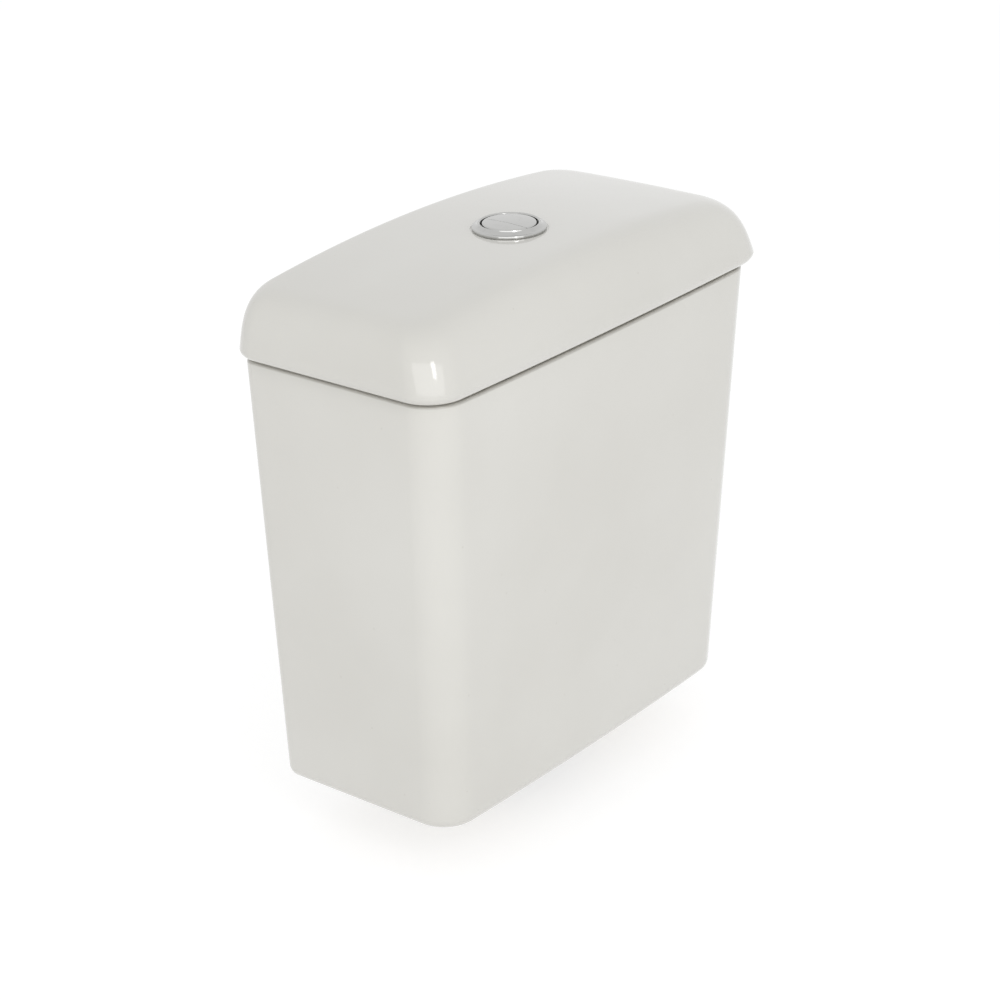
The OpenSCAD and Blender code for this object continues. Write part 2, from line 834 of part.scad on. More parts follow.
// A flat profile in X and Z, made solid from y0 to y1
module slab(y0, y1) {
    translate([0, y1, 0])
        rotate([90, 0, 0])
            linear_extrude(y1 - y0)
                children();
}

// See-saw on the pin: the rod presses its pad, its nose raises the stirrup
module rocker() {
    translate([0, 0, pivot_z])
        difference() {
            union() {
                slab(-hub_out, -rocker_side)
                    circle(r = rocker_hub);
                slab(-rocker_out, -rocker_side)
                    polygon([[0, pad_h], [rod_x + 4.5, pad_h], [rod_x + 4.5, 1.2], [3, -rocker_hub + 1]]);
                slab(-rocker_out, rocker_in - 0.6)
                    polygon([[rocker_hub + 1.2, pad_h], [rod_x + 4.5, pad_h], [rod_x + 4.5, 1.2],
                        [rocker_hub + 1.2, -1.6]]);
                slab(-rocker_out, -rocker_in)
                    polygon([[0, pad_h], [-nose_x, 1.8], [-nose_x, -1.8], [-3, -rocker_hub + 1]]);
                slab(-rocker_out, -rocker_in)
                    translate([-nose_x, 0])
                        circle(r = nose_r);
            }
            slab(-hub_out - cut, cut)
                circle(d = rocker_pin_d + 2*run_fit);
        }
}

module full_rocker() {
    color(white_plastic)
        rocker();
}

module half_rocker() {
    color(grey_plastic)
        rotate(180)
            rocker();
}

// Overflow tube with the flange that presses the seal on the seat
module overflow_tube() {
    color(white_plastic)
    rotate_extrude()
        polygon([[tube_d/2 - tube_wall, tube_flange_z - tube_spigot], [tube_d/2, tube_flange_z - tube_spigot],
            [tube_d/2, tube_flange_z], [seat_d/2, tube_flange_z], [seat_d/2, tube_flange_z + 2],
            [tube_d/2 + 3, tube_flange_z + 4], [tube_d/2, tube_flange_z + 10], [tube_d/2, tube_top],
            [tube_d/2 - tube_wall, tube_top]]);
}

// Collar on the overflow tube with two uprights, each with a lug over the nose of a rocker
module lift_stirrup() {
    color(blue_plastic)
    difference() {
        union() {
            translate([0, 0, collar_z])
                cylinder(r = collar_r, h = collar_h);
            translate([-upright_x - upright_t, -cross_hw, collar_z])
                cube([2*(upright_x + upright_t), 2*cross_hw, cross_t]);
            translate([-upright_x - upright_t, -rocker_out, collar_z])
                cube([upright_t, rocker_out + cross_hw, full_lug_z + lug_t - collar_z]);
            translate([-upright_x - upright_t, -rocker_out, full_lug_z])
                cube([upright_x + upright_t - lug_in, rocker_out - rocker_in, lug_t]);
            translate([upright_x, -cross_hw, collar_z])
                cube([upright_t, rocker_out + cross_hw, half_lug_z + lug_t - collar_z]);
            translate([lug_in, rocker_in, half_lug_z])
                cube([upright_x + upright_t - lug_in, rocker_out - rocker_in, lug_t]);
        }
        translate([0, 0, collar_z - cut])
            cylinder(d = tube_d + 2*run_fit, h = collar_h + 2*cut);
    }
}

// Bell on the overflow tube that holds air while the tank empties
module flush_float() {
    r = tower_in/2 - 1.2;
    z = flush_float_z;
    color(blue_plastic)
    rotate_extrude()
        polygon([[tube_d/2 + run_fit, z], [tube_d/2 + 1.6, z], [tube_d/2 + 1.6, z + flush_float_h - 2],
            [r - 1.6, z + flush_float_h - 2], [r - 1.6, z], [r, z], [r, z + flush_float_h - 3],
            [r - 3, z + flush_float_h], [tube_d/2 + run_fit, z + flush_float_h]]);
}

module valve_seal() {
    color(silicone)
    translate([0, 0, valve_seat_z])
        difference() {
            cylinder(d = seat_d + 1.5, h = seal_t);
            translate([0, 0, -cut])
                cylinder(d = tube_d + 2*run_fit, h = seal_t + 2*cut);
        }
}

module seal_retainer() {
    color(white_plastic)
    translate([0, 0, valve_seat_z - 4])
        difference() {
            cylinder(d1 = tube_d + 7, d2 = tube_d + 11, h = 4);
            translate([0, 0, -cut])
                cylinder(d = tube_d + 2*run_fit, h = 4 + 2*cut);
        }
}

// Sliding sleeve that sets the half flush by closing the tower slots
module half_flush_sleeve() {
    ri = tower_d/2 + sleeve_play;
    color(grey_plastic)
    translate([0, 0, sleeve_z])
        difference() {
            union() {
                cylinder(r = ri + 2.2, h = sleeve_h);
                translate([0, 0, sleeve_h - 2.5])
                    cylinder(r = ri + 3.4, h = 2.5);
                for (s = [-1, 1])
                    translate([s > 0 ? ri + 1 : -ri - 8, -5, 0])
                        cube([7, 10, 3]);
            }
            translate([0, 0, -cut])
                cylinder(r = ri, h = sleeve_h + 2*cut);
        }
}

// Pieces of the fill valve stand on its own axis
module at_fill() {
    translate([fill_x, fill_y, 0])
        children();
}

module fill_shank() {
    color(brass)
    at_fill()
        rotate_extrude()
            polygon([[water_bore/2, shank_end - inlet_len], [inlet_d/2 - 1, shank_end - inlet_len],
                [inlet_d/2, shank_end - inlet_len + 1], [inlet_d/2, shank_end], [shank_d/2, shank_end],
                [shank_d/2, shank_flange_z], [shank_flange_d/2, shank_flange_z],
                [shank_flange_d/2, riser_z], [water_bore/2, riser_z]]);
}

module fill_washer() {
    color(rubber)
    at_fill()
        translate([0, 0, floor_t])
            difference() {
                cylinder(d = shank_flange_d - 2, h = fill_washer_t);
                translate([0, 0, -cut])
                    cylinder(d = shank_d + 2*run_fit, h = fill_washer_t + 2*cut);
            }
}

// Hexagon nut with a washer face, under the tank
module fill_locknut() {
    color(white_plastic)
    at_fill()
        difference() {
            union() {
                translate([0, 0, -locknut_h])
                    cylinder(d = shank_d + 16, h = locknut_h - 2, $fn = 6);
                translate([0, 0, -2.5])
                    cylinder(d = shank_d + 18, h = 2.5);
            }
            translate([0, 0, -locknut_h - cut])
                cylinder(d = shank_d + 2*run_fit, h = locknut_h + 2*cut);
        }
}

// Small cup strainer in the inlet tail
module inlet_strainer() {
    z = shank_end - inlet_len + 1;
    color(white_plastic)
    at_fill()
        difference() {
            rotate_extrude()
                polygon([[water_bore/2 - 1.6, z], [water_bore/2 - run_fit, z], [water_bore/2 - run_fit, z + 3],
                    [water_bore/2 - 0.9, z + 3.5], [2.6, z + 17], [0, z + 17], [0, z + 16], [1.9, z + 16],
                    [water_bore/2 - 1.6, z + 3]]);
            for (k = [0:strainer_n - 1])
                rotate(360*k/strainer_n)
                    translate([1.5, -slit_w/2, z + 5.5])
                        cube([water_bore/2, slit_w, slit_h]);
        }
}

module riser_lower() {
    color(white_plastic)
    at_fill()
        difference() {
            union() {
                translate([0, 0, riser_z])
                    cylinder(d = riser_low_d, h = riser_low_h);
                translate([0, 0, riser_z])
                    cylinder(d = shank_flange_d - 4, h = 6);
                for (k = [0:3])
                    rotate(90*k + 45)
                        translate([riser_low_d/2 - 1, -1.2, riser_z + 5])
                            cube([3.5, 2.4, riser_low_h - 22]);
            }
            translate([0, 0, riser_z - cut])
                cylinder(d = riser_d + 2*riser_slip, h = riser_low_h + 2*cut);
        }
}

module riser_upper() {
    z = riser_low_top - riser_insert;
    color(white_plastic)
    at_fill()
        difference() {
            translate([0, 0, z])
                cylinder(d = riser_d, h = head_z - z);
            translate([0, 0, z - cut])
                cylinder(d = water_bore, h = head_z - z + 2*cut);
        }
}

// Twist collar that locks the two risers at the set height
module riser_collar() {
    r1 = riser_low_d/2 + riser_slip;
    r2 = riser_d/2 + riser_slip;
    z = riser_low_top - collar_low;
    color(blue_plastic)
    at_fill()
        rotate_extrude()
            polygon([[r1, z], [r1 + 4, z], [r1 + 4, riser_low_top], [r1, riser_low_top + collar_cap],
                [r2, riser_low_top + collar_cap], [r2, riser_low_top], [r1, riser_low_top]]);
}

module fill_head() {
    color(white_plastic)
    at_fill()
        difference() {
            union() {
                translate([0, 0, head_z])
                    cylinder(d1 = riser_d + 6, d2 = head_d, h = 8);
                translate([0, 0, head_z + 8])
                    cylinder(d = head_d, h = head_h - 8);
                for (k = [0:7])
                    rotate(45*k)
                        translate([head_d/2 - 1, -1.5, head_z + 10])
                            cube([2.5, 3, head_h - 13]);
            }
            translate([0, 0, head_z - cut])
                cylinder(d = water_bore - 4, h = head_h + 2*cut);
            translate([0, 0, cap_z - 2])
                cylinder(d = head_d - 4, h = 2 + cut);
        }
}

module fill_diaphragm() {
    color(rubber)
    at_fill()
        translate([0, 0, cap_z - 2])
            difference() {
                cylinder(d = head_d - 4 - 2*run_fit, h = 2);
                translate([0, 0, -cut])
                    cylinder(d = 2, h = 2 + 2*cut);
            }
}

// Screwed cap with the pilot spigot and the two ears of the lever
module fill_cap() {
    ear_in = lever_half + 0.5;
    color(blue_plastic)
    at_fill()
        difference() {
            union() {
                translate([0, 0, cap_z])
                    cylinder(d = fill_cap_d, h = fill_cap_h - 3);
                translate([0, 0, fill_cap_top - 3])
                    cylinder(d1 = fill_cap_d, d2 = fill_cap_d - 6, h = 3);
                translate([0, 0, fill_cap_top - cut])
                    cylinder(d = 5, h = cut + 1.5);
                for (s = [-1, 1]) {
                    translate([-nose_arm - ear_r, s > 0 ? ear_in : -ear_in - ear_t, fill_cap_top - 4])
                        cube([2*ear_r, ear_t, lever_z - fill_cap_top + 4]);
                    translate([-nose_arm, s > 0 ? ear_in + ear_t : -ear_in, lever_z])
                        rotate([90, 0, 0])
                            cylinder(r = ear_r, h = ear_t);
                }
                for (k = [0:11])
                    rotate(30*k)
                        translate([fill_cap_d/2 - 1, -1, cap_z])
                            cube([1.8, 2, fill_cap_h - 3]);
            }
            translate([0, 0, cap_z - cut])
                cylinder(d = 2, h = fill_cap_h + 3*cut);
            translate([-nose_arm, ear_in + ear_t + cut, lever_z])
                rotate([90, 0, 0])
                    cylinder(d = lever_pin_d + 2*run_fit, h = 2*(ear_in + ear_t + cut));
        }
}

module lever_pin() {
    len = 2*(lever_half + 0.5 + ear_t) + 1;
    color(steel)
    at_fill()
        translate([-nose_arm, len/2, lever_z])
            rotate([90, 0, 0]) {
                cylinder(d = lever_pin_d, h = len);
                translate([0, 0, -1.2])
                    cylinder(d = lever_pin_d + 2, h = 1.2);
            }
}

// Lever on the cap: the link raises its fork, its nose closes the pilot spigot
module float_lever() {
    far = lever_arm + fork_end;
    color(white_plastic)
    at_fill()
        translate([-nose_arm, 0, lever_z])
            difference() {
                union() {
                    slab(-lever_half, lever_half)
                        polygon([[nose_arm + lever_over, lever_low], [nose_arm + lever_over, 0.4], [0, lever_high + 1.4],
                            [-lever_arm + lever_flat, lever_high], [-far, lever_high], [-far, lever_low]]);
                    translate([-lever_arm - 1, 0, lever_low])
                        cylinder(d = fork_d, h = lever_high - lever_low);
                }
                translate([-far - 10, -link_d/2 - fork_play, lever_low - cut])
                    cube([far - lever_arm + 16, link_d + 2*fork_play, lever_high - lever_low + 2*cut]);
                slab(-lever_half - cut, lever_half + cut)
                    circle(d = lever_pin_d + 2*run_fit);
            }
}

// Open-bottomed float round the riser, with an arm for the link
module fill_float() {
    ri = riser_d/2 + float_play;
    r = float_d/2;
    arm_z = float_top - 14;
    color(grey_plastic)
    at_fill()
        difference() {
            union() {
                rotate_extrude()
                    polygon([[ri, float_z], [ri + 1.8, float_z], [ri + 1.8, float_top - 2.4],
                        [r - 1.8, float_top - 2.4], [r - 1.8, float_z], [r, float_z], [r, float_top - 3],
                        [r - 3, float_top], [ri, float_top]]);
                translate([link_x - 5, -4, arm_z])
                    cube([-link_x + 5 - r + 1.2, 8, 6]);
                translate([link_x + 5, -1.5, arm_z - 14])
                    cube([-link_x - 5 - r + 1.2, 3, 15]);
            }
            translate([link_x, 0, arm_z - cut])
                cylinder(d = link_d + 2*run_fit, h = 6 + 2*cut);
        }
}

// Link from the float arm to the fork, with a ball under the fork
module float_link() {
    low = float_top - 20;
    top = lever_z + 15;
    color(white_plastic)
    at_fill()
        translate([link_x, 0, 0]) {
            translate([0, 0, low])
                cylinder(d = link_d, h = top - low);
            translate([0, 0, low])
                cylinder(d = link_d + 4, h = 6);
            translate([0, 0, lever_z + lever_low - touch_gap - ball_r])
                sphere(r = ball_r);
        }
}

module link_knob() {
    color(blue_plastic)
    at_fill()
        translate([link_x, 0, lever_z + lever_high + 2])
            difference() {
                cylinder(d = knob_d, h = knob_h);
                for (k = [0:7])
                    rotate(45*k)
                        translate([knob_d/2 + 0.5, 0, 2])
                            cylinder(d = 2.6, h = knob_h);
                translate([0, 0, -cut])
                    cylinder(d = link_d + 2*run_fit, h = knob_h + 2*cut);
            }
}

// Pieces of the coupling stand on the axis of each bolt
module at_bolts() {
    for (s = [-1, 1])
        translate([s*bolt_gap/2, 0, 0])
            children();
}

module coupling_bolts() {
    head_base = floor_t + washer_h + steel_washer_t;
    color(brass)
    at_bolts() {
        translate([0, 0, -bolt_len])
            cylinder(d = bolt_d, h = bolt_len + bolt_neck_z);
        translate([0, 0, bolt_neck_z - 1])
            cylinder(d = bolt_neck_d, h = head_base - bolt_neck_z + 2);
        translate([0, 0, head_base])
            cylinder(d = bolt_head_w, h = bolt_head_h, $fn = 6);
    }
}

module bolt_cone_washers() {
    color(rubber)
    at_bolts()
        translate([0, 0, floor_t])
            difference() {
                cylinder(d1 = bolt_washer_d, d2 = bolt_washer_d - cone_fall, h = washer_h);
                translate([0, 0, -cut])
                    cylinder(d = bolt_neck_d + 2*run_fit, h = washer_h + 2*cut);
            }
}

module bolt_steel_washers() {
    color(steel)
    at_bolts()
        translate([0, 0, floor_t + washer_h])
            difference() {
                cylinder(d = bolt_d + plate_over, h = steel_washer_t);
                translate([0, 0, -cut])
                    cylinder(d = bolt_d + 2*run_fit, h = steel_washer_t + 2*cut);
            }
}

cistern_tank();
lid_buffers();
cistern_lid();
button_bezel();
bezel_gasket();
button_barrel();
barrel_nut();
full_flush_button();
half_flush_button();
full_push_rod();
half_push_rod();
full_return_spring();
half_return_spring();
valve_base();
valve_cage();
base_washer();
back_nut();
coupling_seal();
valve_tower();
rocker_bridge();
rocker_pin();
full_rocker();
half_rocker();
overflow_tube();
lift_stirrup();
flush_float();
valve_seal();
seal_retainer();
half_flush_sleeve();
fill_shank();
fill_washer();
fill_locknut();
inlet_strainer();
riser_lower();
riser_upper();
riser_collar();
fill_head();
fill_diaphragm();
fill_cap();
lever_pin();
float_lever();
fill_float();
float_link();
link_knob();
coupling_bolts();
bolt_cone_washers();
bolt_steel_washers();
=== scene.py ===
import math

import bmesh
import bpy
from mathutils import Matrix, Vector


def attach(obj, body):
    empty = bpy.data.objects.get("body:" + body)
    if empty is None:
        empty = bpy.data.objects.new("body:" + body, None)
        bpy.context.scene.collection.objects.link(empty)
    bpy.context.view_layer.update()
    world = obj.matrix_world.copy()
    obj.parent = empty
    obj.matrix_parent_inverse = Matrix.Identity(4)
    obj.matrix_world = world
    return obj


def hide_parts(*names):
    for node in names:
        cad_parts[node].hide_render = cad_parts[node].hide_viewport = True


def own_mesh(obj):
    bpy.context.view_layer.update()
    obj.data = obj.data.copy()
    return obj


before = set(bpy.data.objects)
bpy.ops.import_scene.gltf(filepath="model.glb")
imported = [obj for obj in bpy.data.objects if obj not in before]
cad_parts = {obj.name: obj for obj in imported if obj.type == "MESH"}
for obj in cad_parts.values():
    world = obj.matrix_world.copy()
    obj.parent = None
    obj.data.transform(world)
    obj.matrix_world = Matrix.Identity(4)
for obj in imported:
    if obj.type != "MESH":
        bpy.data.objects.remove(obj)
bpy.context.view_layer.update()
scene = bpy.context.scene
scene.view_settings.view_transform = "Standard"
print("frame loaded,", len(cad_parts), "nodes")


class Wire:
    # a socket in a shader tree; its operators add Math nodes
    def __init__(self, tree, socket=None):
        self.tree = tree
        self.socket = socket

    def add(self, kind, plugs=None, out=0, **settings):
        node = self.tree.nodes.new("ShaderNode" + kind)
        for key, value in settings.items():
            if key == "stops":
                for place, shade in value[1:-1]:
                    node.color_ramp.elements.new(place)
                for element, (place, shade) in zip(node.color_ramp.elements, value):
                    element.position = place
                    element.color = (*shade, 1)
            else:
                setattr(node, key, value)
        for key, value in (plugs or {}).items():
            target = node.inputs[key]
            if isinstance(value, Wire):
                self.tree.links.new(value.socket, target)
            elif target.type == "RGBA" and len(value) == 3:
                target.default_value = (*value, 1)
            else:
                target.default_value = value
        return Wire(self.tree, node.outputs[out] if len(node.outputs) else None)

    def sums(self, operation, other):
        return self.add("Math", {0: self, 1: other}, operation=operation)

    def step(self, low, high):
        return self.add("MapRange", {"Value": self, "From Min": low, "From Max": high},
                        interpolation_type="SMOOTHSTEP")

    def __add__(self, other):
        return self.sums("ADD", other)

    def __sub__(self, other):
        return self.sums("SUBTRACT", other)

    def __rsub__(self, other):
        return self.sums("MULTIPLY", -1.0).sums("ADD", other)

    def __mul__(self, other):
        return self.sums("MULTIPLY", other)

    __radd__ = __add__
    __rmul__ = __mul__


def blankMaterial(name):
    mat = bpy.data.materials.new(name)
    mat.use_nodes = True
    mat.node_tree.nodes.clear()
    return mat, Wire(mat.node_tree)


def startMaterial(name):
    mat, wire = blankMaterial(name)
    return mat, wire, wire.add("TexCoord", out="Object")


def noise(wire, pos, scale, detail=2.0, stretch=(1, 1, 1)):
    if stretch != (1, 1, 1):
        pos = wire.add("Mapping", {"Vector": pos, "Scale": stretch})
    return wire.add("TexNoise", {"Vector": pos, "Scale": scale, "Detail": detail})


def ramp(wire, factor, *stops):
    return wire.add("ValToRGB", {"Fac": factor}, stops=stops)


def blend(wire, factor, first, second):
    return wire.add("Mix", {0: factor, 6: first, 7: second}, out=2, data_type="RGBA")


def bump(wire, height, strength, distance):
    return wire.add("Bump", {"Height": height, "Strength": strength, "Distance": distance})


def endMaterial(wire, **plugs):
    shader = wire.add("BsdfPrincipled", {key.replace("_", " "): value for key, value in plugs.items()})
    wire.add("OutputMaterial", {"Surface": shader})


# fired clay under a thick white glaze, left bare on the face it was fired on;
# painted shade darkens the glaze in a band beside the seam between lid and tank, from the height where it
# starts to the height where it is full, all in metres
def glazeMaterial(name, pale, bareUnder, unmarked, fullShadeHeight):
    mat, wire, pos = startMaterial(name)
    height = wire.add("SeparateXYZ", {0: pos}, out=2)
    bare = height.step(bareUnder + 0.0012, bareUnder)
    drift = noise(wire, pos, 6.0, 3.0)
    film = noise(wire, pos, 15.0, 5.0)
    tone = ramp(wire, drift, (0.32, [c * pale for c in (0.668, 0.657, 0.616)]),
                (0.68, [c * pale for c in (0.705, 0.696, 0.657)]))
    fleck = wire.add("TexVoronoi", {"Vector": pos, "Scale": 46.0}).step(0.05, 0.02) * 0.14
    speckled = blend(wire, fleck, tone, (0.36, 0.31, 0.25))
    # painted shade in the seam between lid and tank: the glaze turns darker towards the seam, varied by
    # noise
    dustAndPaintedShade = height.step(unmarked, fullShadeHeight) * (0.55 + noise(wire, pos, 90.0, 3.0) * 0.4)
    body = blend(wire, dustAndPaintedShade, speckled, (0.4, 0.385, 0.345))
    clay = ramp(wire, noise(wire, pos, 420.0, 4.0), (0.3, (0.6, 0.555, 0.48)), (0.7, (0.7, 0.655, 0.575)))
    ripple = noise(wire, pos, 26.0, 1.5)
    grit = noise(wire, pos, 1500.0, 3.0)
    relief = ripple * (1 - bare) + grit * bare * 0.35
    endMaterial(wire, Base_Color=blend(wire, bare, body, clay), Roughness=film * 0.08 + 0.07 + bare * 0.6,
                Coat_Weight=0.6 - bare * 0.6, Coat_Roughness=0.03, IOR=1.5,
                Normal=bump(wire, relief, 0.22, 0.0012))
    return mat


# bright plating over moulded parts, with a thin film of water marks
def chromeMaterial():
    mat, wire, pos = startMaterial("chromePlate")
    marks = noise(wire, pos, 160.0, 4.0).step(0.52, 0.72)
    hair = noise(wire, pos, 900.0, 2.0, (1, 0.06, 1))
    tone = blend(wire, marks * 0.4, (0.5, 0.5, 0.49), (0.44, 0.44, 0.43))
    endMaterial(wire, Base_Color=tone, Metallic=1.0, Roughness=marks * 0.08 + hair * 0.05 + 0.09,
                Normal=bump(wire, noise(wire, pos, 60.0, 1.0), 0.05, 0.0005))
    return mat


def plasticMaterial(name, dark, light, gloss):
    mat, wire, pos = startMaterial(name)
    flow = noise(wire, pos, 18.0, 3.0, (1, 1, 0.35))
    grain = noise(wire, pos, 1100.0, 2.0)
    scuff = noise(wire, pos, 75.0, 6.0).step(0.55, 0.75)
    tone = ramp(wire, flow, (0.3, dark), (0.7, light))
    endMaterial(wire, Base_Color=tone, Roughness=gloss + scuff * 0.12 + grain * 0.06, IOR=1.49,
                Normal=bump(wire, grain + scuff * 0.4, 0.16, 0.0003))
    return mat


def rubberMaterial(name, dark, bloom):
    mat, wire, pos = startMaterial(name)
    dustAndPaintedShade = noise(wire, pos, 55.0, 6.0).step(0.45, 0.8)
    grain = noise(wire, pos, 700.0, 3.0)
    endMaterial(wire, Base_Color=blend(wire, dustAndPaintedShade * 0.5, dark, bloom), Roughness=0.58 + dustAndPaintedShade * 0.2,
                IOR=1.52, Normal=bump(wire, grain, 0.35, 0.0004))
    return mat


# turned or drawn metal; the fine lines run round the upright axis
def metalMaterial(name, unmarked, dull, gloss):
    mat, wire, pos = startMaterial(name)
    lines = noise(wire, pos, 240.0, 3.0, (0.08, 0.08, 6.0))
    tarnish = noise(wire, pos, 130.0, 5.0).step(0.48, 0.8)
    endMaterial(wire, Base_Color=blend(wire, tarnish * 0.6, unmarked, dull), Metallic=1.0,
                Roughness=gloss + lines * 0.12 + tarnish * 0.16, Normal=bump(wire, lines, 0.12, 0.0003))
    return mat


# the last two heights place the painted seam shade: up to the tank's rim, and down to the lid's foot
tankGlaze = glazeMaterial("tankGlaze", pale=1.0, bareUnder=0.0006, unmarked=0.3282, fullShadeHeight=0.33)
# the lid's copy of the glaze is painted 2.5% darker than the tank's: painted shade that evens out how the
# lamps light lid and tank
lidGlaze = glazeMaterial("lidGlaze", pale=0.975, bareUnder=0.331, unmarked=0.3354, fullShadeHeight=0.3338)
chrome = chromeMaterial()
white = plasticMaterial("whitePlastic", (0.68, 0.69, 0.69), (0.735, 0.74, 0.735), 0.3)
grey = plasticMaterial("greyPlastic", (0.23, 0.255, 0.275), (0.275, 0.3, 0.32), 0.4)
blue = plasticMaterial("bluePlastic", (0.05, 0.145, 0.4), (0.07, 0.18, 0.46), 0.36)
rubber = rubberMaterial("blackRubber", (0.014, 0.014, 0.015), (0.06, 0.06, 0.058))
silicone = rubberMaterial("redSilicone", (0.36, 0.035, 0.024), (0.46, 0.1, 0.075))
steel = metalMaterial("springSteel", (0.56, 0.57, 0.585), (0.42, 0.42, 0.42), 0.2)
brass = metalMaterial("turnedBrass", (0.74, 0.58, 0.3), (0.5, 0.36, 0.17), 0.22)


class Sizes(dict):
    # the dictionary of one piece, in millimetres; an entry is also read as a name, tank.height
    __getattr__ = dict.__getitem__


# pieces are drawn in millimetres and scaled to metres at the end
def toMetres(work):
    bmesh.ops.scale(work, verts=work.verts[:], vec=(0.001, 0.001, 0.001))


def meshFrom(work, name):
    mesh = bpy.data.meshes.new(name)
    work.to_mesh(mesh)
    work.free()
    return mesh


def join(bm, work):
    mesh = meshFrom(work, "work")
    bm.from_mesh(mesh)
    bpy.data.meshes.remove(mesh)


def moved(work, at):
    bmesh.ops.translate(work, verts=work.verts[:], vec=(at[0], at[1], at[2] if len(at) > 2 else 0))


def eased(work, geom, size, segments, affect="EDGES", clamp=True):
    bmesh.ops.bevel(work, geom=geom, offset=size, offset_type="OFFSET", segments=segments, profile=0.5,
                    affect=affect, clamp_overlap=clamp, material=-1)


# a closed profile of radius, height and corner ease, turned full circle
def turn(bm, profile, at=(0, 0), steps=96):
    work = bmesh.new()
    verts = [work.verts.new((p[0], 0, p[1])) for p in profile]
    work.faces.new(verts)
    eases = [p[2] if len(p) > 2 and p[0] > 1e-6 else 0 for p in profile]
    for size in sorted(set(eases) - {0}):
        corners = [v for v, e in zip(verts, eases) if e == size and v.is_valid]
        eased(work, corners, size, 3, "VERTICES")
    bmesh.ops.delete(work, geom=work.faces[:], context="FACES_ONLY")
    bmesh.ops.spin(work, geom=work.verts[:] + work.edges[:], cent=(0, 0, 0), axis=(0, 0, 1),
                   angle=2 * math.pi, steps=steps, use_merge=True)
    bmesh.ops.remove_doubles(work, verts=work.verts[:], dist=1e-4)
    bmesh.ops.recalc_face_normals(work, faces=work.faces[:])
    moved(work, at)
    join(bm, work)


# a plain ring; its four eases go from the lower bore edge outwards and up
def ring(bm, sizes, low, high, eases, at=(0, 0), steps=96):
    inner, outer = sizes
    corners = ((inner, low), (outer, low), (outer, high), (inner, high))
    turn(bm, [(*corner, ease) for corner, ease in zip(corners, eases)], at, steps)


# profile points of the grooves round a wall at these heights;
# the root is a line, or flat where half its width is given
def grooves(heights, radius, depth, half, flat=0.0, eases=(0.0, 0.0)):
    points = []
    for z in heights:
        root = [(radius - depth, z + place, eases[1]) for place in ((-flat, flat) if flat else (0,))]
        points += [(radius, z - half, eases[0]), *root, (radius, z + half, eases[0])]
    return points


# the same in a level face, from the outside in
def faceGroove(radius, half, depth, z, ease=0.0):
    return [(radius + half, z, ease), (radius, z - depth, ease), (radius - half, z, ease)]


# profile points on part of a circle, in degrees
def arc(x, z, radius, start, stop, step):
    angles = [math.radians(a) for a in range(start, stop + 1, step)]
    return [(x + radius * math.cos(a), z + radius * math.sin(a)) for a in angles]


# places spread evenly on a circle
def around(count, radius, at=(0, 0), shift=0.0):
    angles = [2 * math.pi * (k + shift) / count for k in range(count)]
    return [(at[0] + radius * math.cos(a), at[1] + radius * math.sin(a)) for a in angles]


# a box between two opposite corners, turned about the origin and then moved
def block(bm, low, high, ease, spin=0.0, at=(0, 0)):
    work = bmesh.new()
    bmesh.ops.create_cube(work, size=1)
    for v in work.verts:
        v.co = [min(ends) if c < 0 else max(ends) for c, *ends in zip(v.co, low, high)]
    if ease:
        eased(work, work.edges[:], ease, 2)
    bmesh.ops.rotate(work, verts=work.verts[:], cent=(0, 0, 0), matrix=Matrix.Rotation(spin, 3, "Z"))
    moved(work, at)
    join(bm, work)


# equal blocks spread evenly round an axis
def fins(bm, count, low, high, ease, at=(0, 0), shift=0.0):
    for k in range(count):
        block(bm, low, high, ease, 2 * math.pi * (k + shift) / count, at)


# a round bar along X, Y or Z with eased ends
def bar(bm, start, length, radius, axis="Z", ease=0.3, sides=32):
    work = bmesh.new()
    bmesh.ops.create_cone(work, cap_ends=True, segments=sides, radius1=radius, radius2=radius,
                          depth=length, matrix=Matrix.Translation((0, 0, length / 2)))
    if ease:
        rims = [e for e in work.edges if abs(e.verts[0].co.z - e.verts[1].co.z) < 1e-6]
        eased(work, rims, ease, 3)
    turnTo = {"X": Matrix.Rotation(math.pi / 2, 3, "Y"), "Y": Matrix.Rotation(-math.pi / 2, 3, "X"),
              "Z": Matrix.Identity(3)}
    bmesh.ops.rotate(work, verts=work.verts[:], cent=(0, 0, 0), matrix=turnTo[axis])
    moved(work, start)
    join(bm, work)


# a pin along Y with a head on its far end
def crossPin(bm, sizes, at):
    x, y, z = at
    bar(bm, (x, y - sizes.half, z), 2 * sizes.half + 0.5, sizes.radius, "Y", sizes.ease)
    bar(bm, (x, y + sizes.half, z), sizes.headLong, sizes.head, "Y", sizes.headEase)


# an outline in X and Z made solid along Y
def slab(bm, shape, start, stop, ease, at=(0, 0, 0), spin=0.0):
    low, high = sorted((start, stop))
    work = bmesh.new()
    face = work.faces.new([work.verts.new((x, low, z)) for x, z in shape])
    grown = bmesh.ops.extrude_face_region(work, geom=[face])
    far = [g for g in grown["geom"] if isinstance(g, bmesh.types.BMVert)]
    bmesh.ops.translate(work, verts=far, vec=(0, high - low, 0))
    bmesh.ops.recalc_face_normals(work, faces=work.faces[:])
    eased(work, [e for e in work.edges if e.calc_face_angle(0) > 0.6], ease, 2)
    bmesh.ops.rotate(work, verts=work.verts[:], cent=(0, 0, 0), matrix=Matrix.Rotation(spin, 3, "Z"))
    moved(work, at)
    join(bm, work)


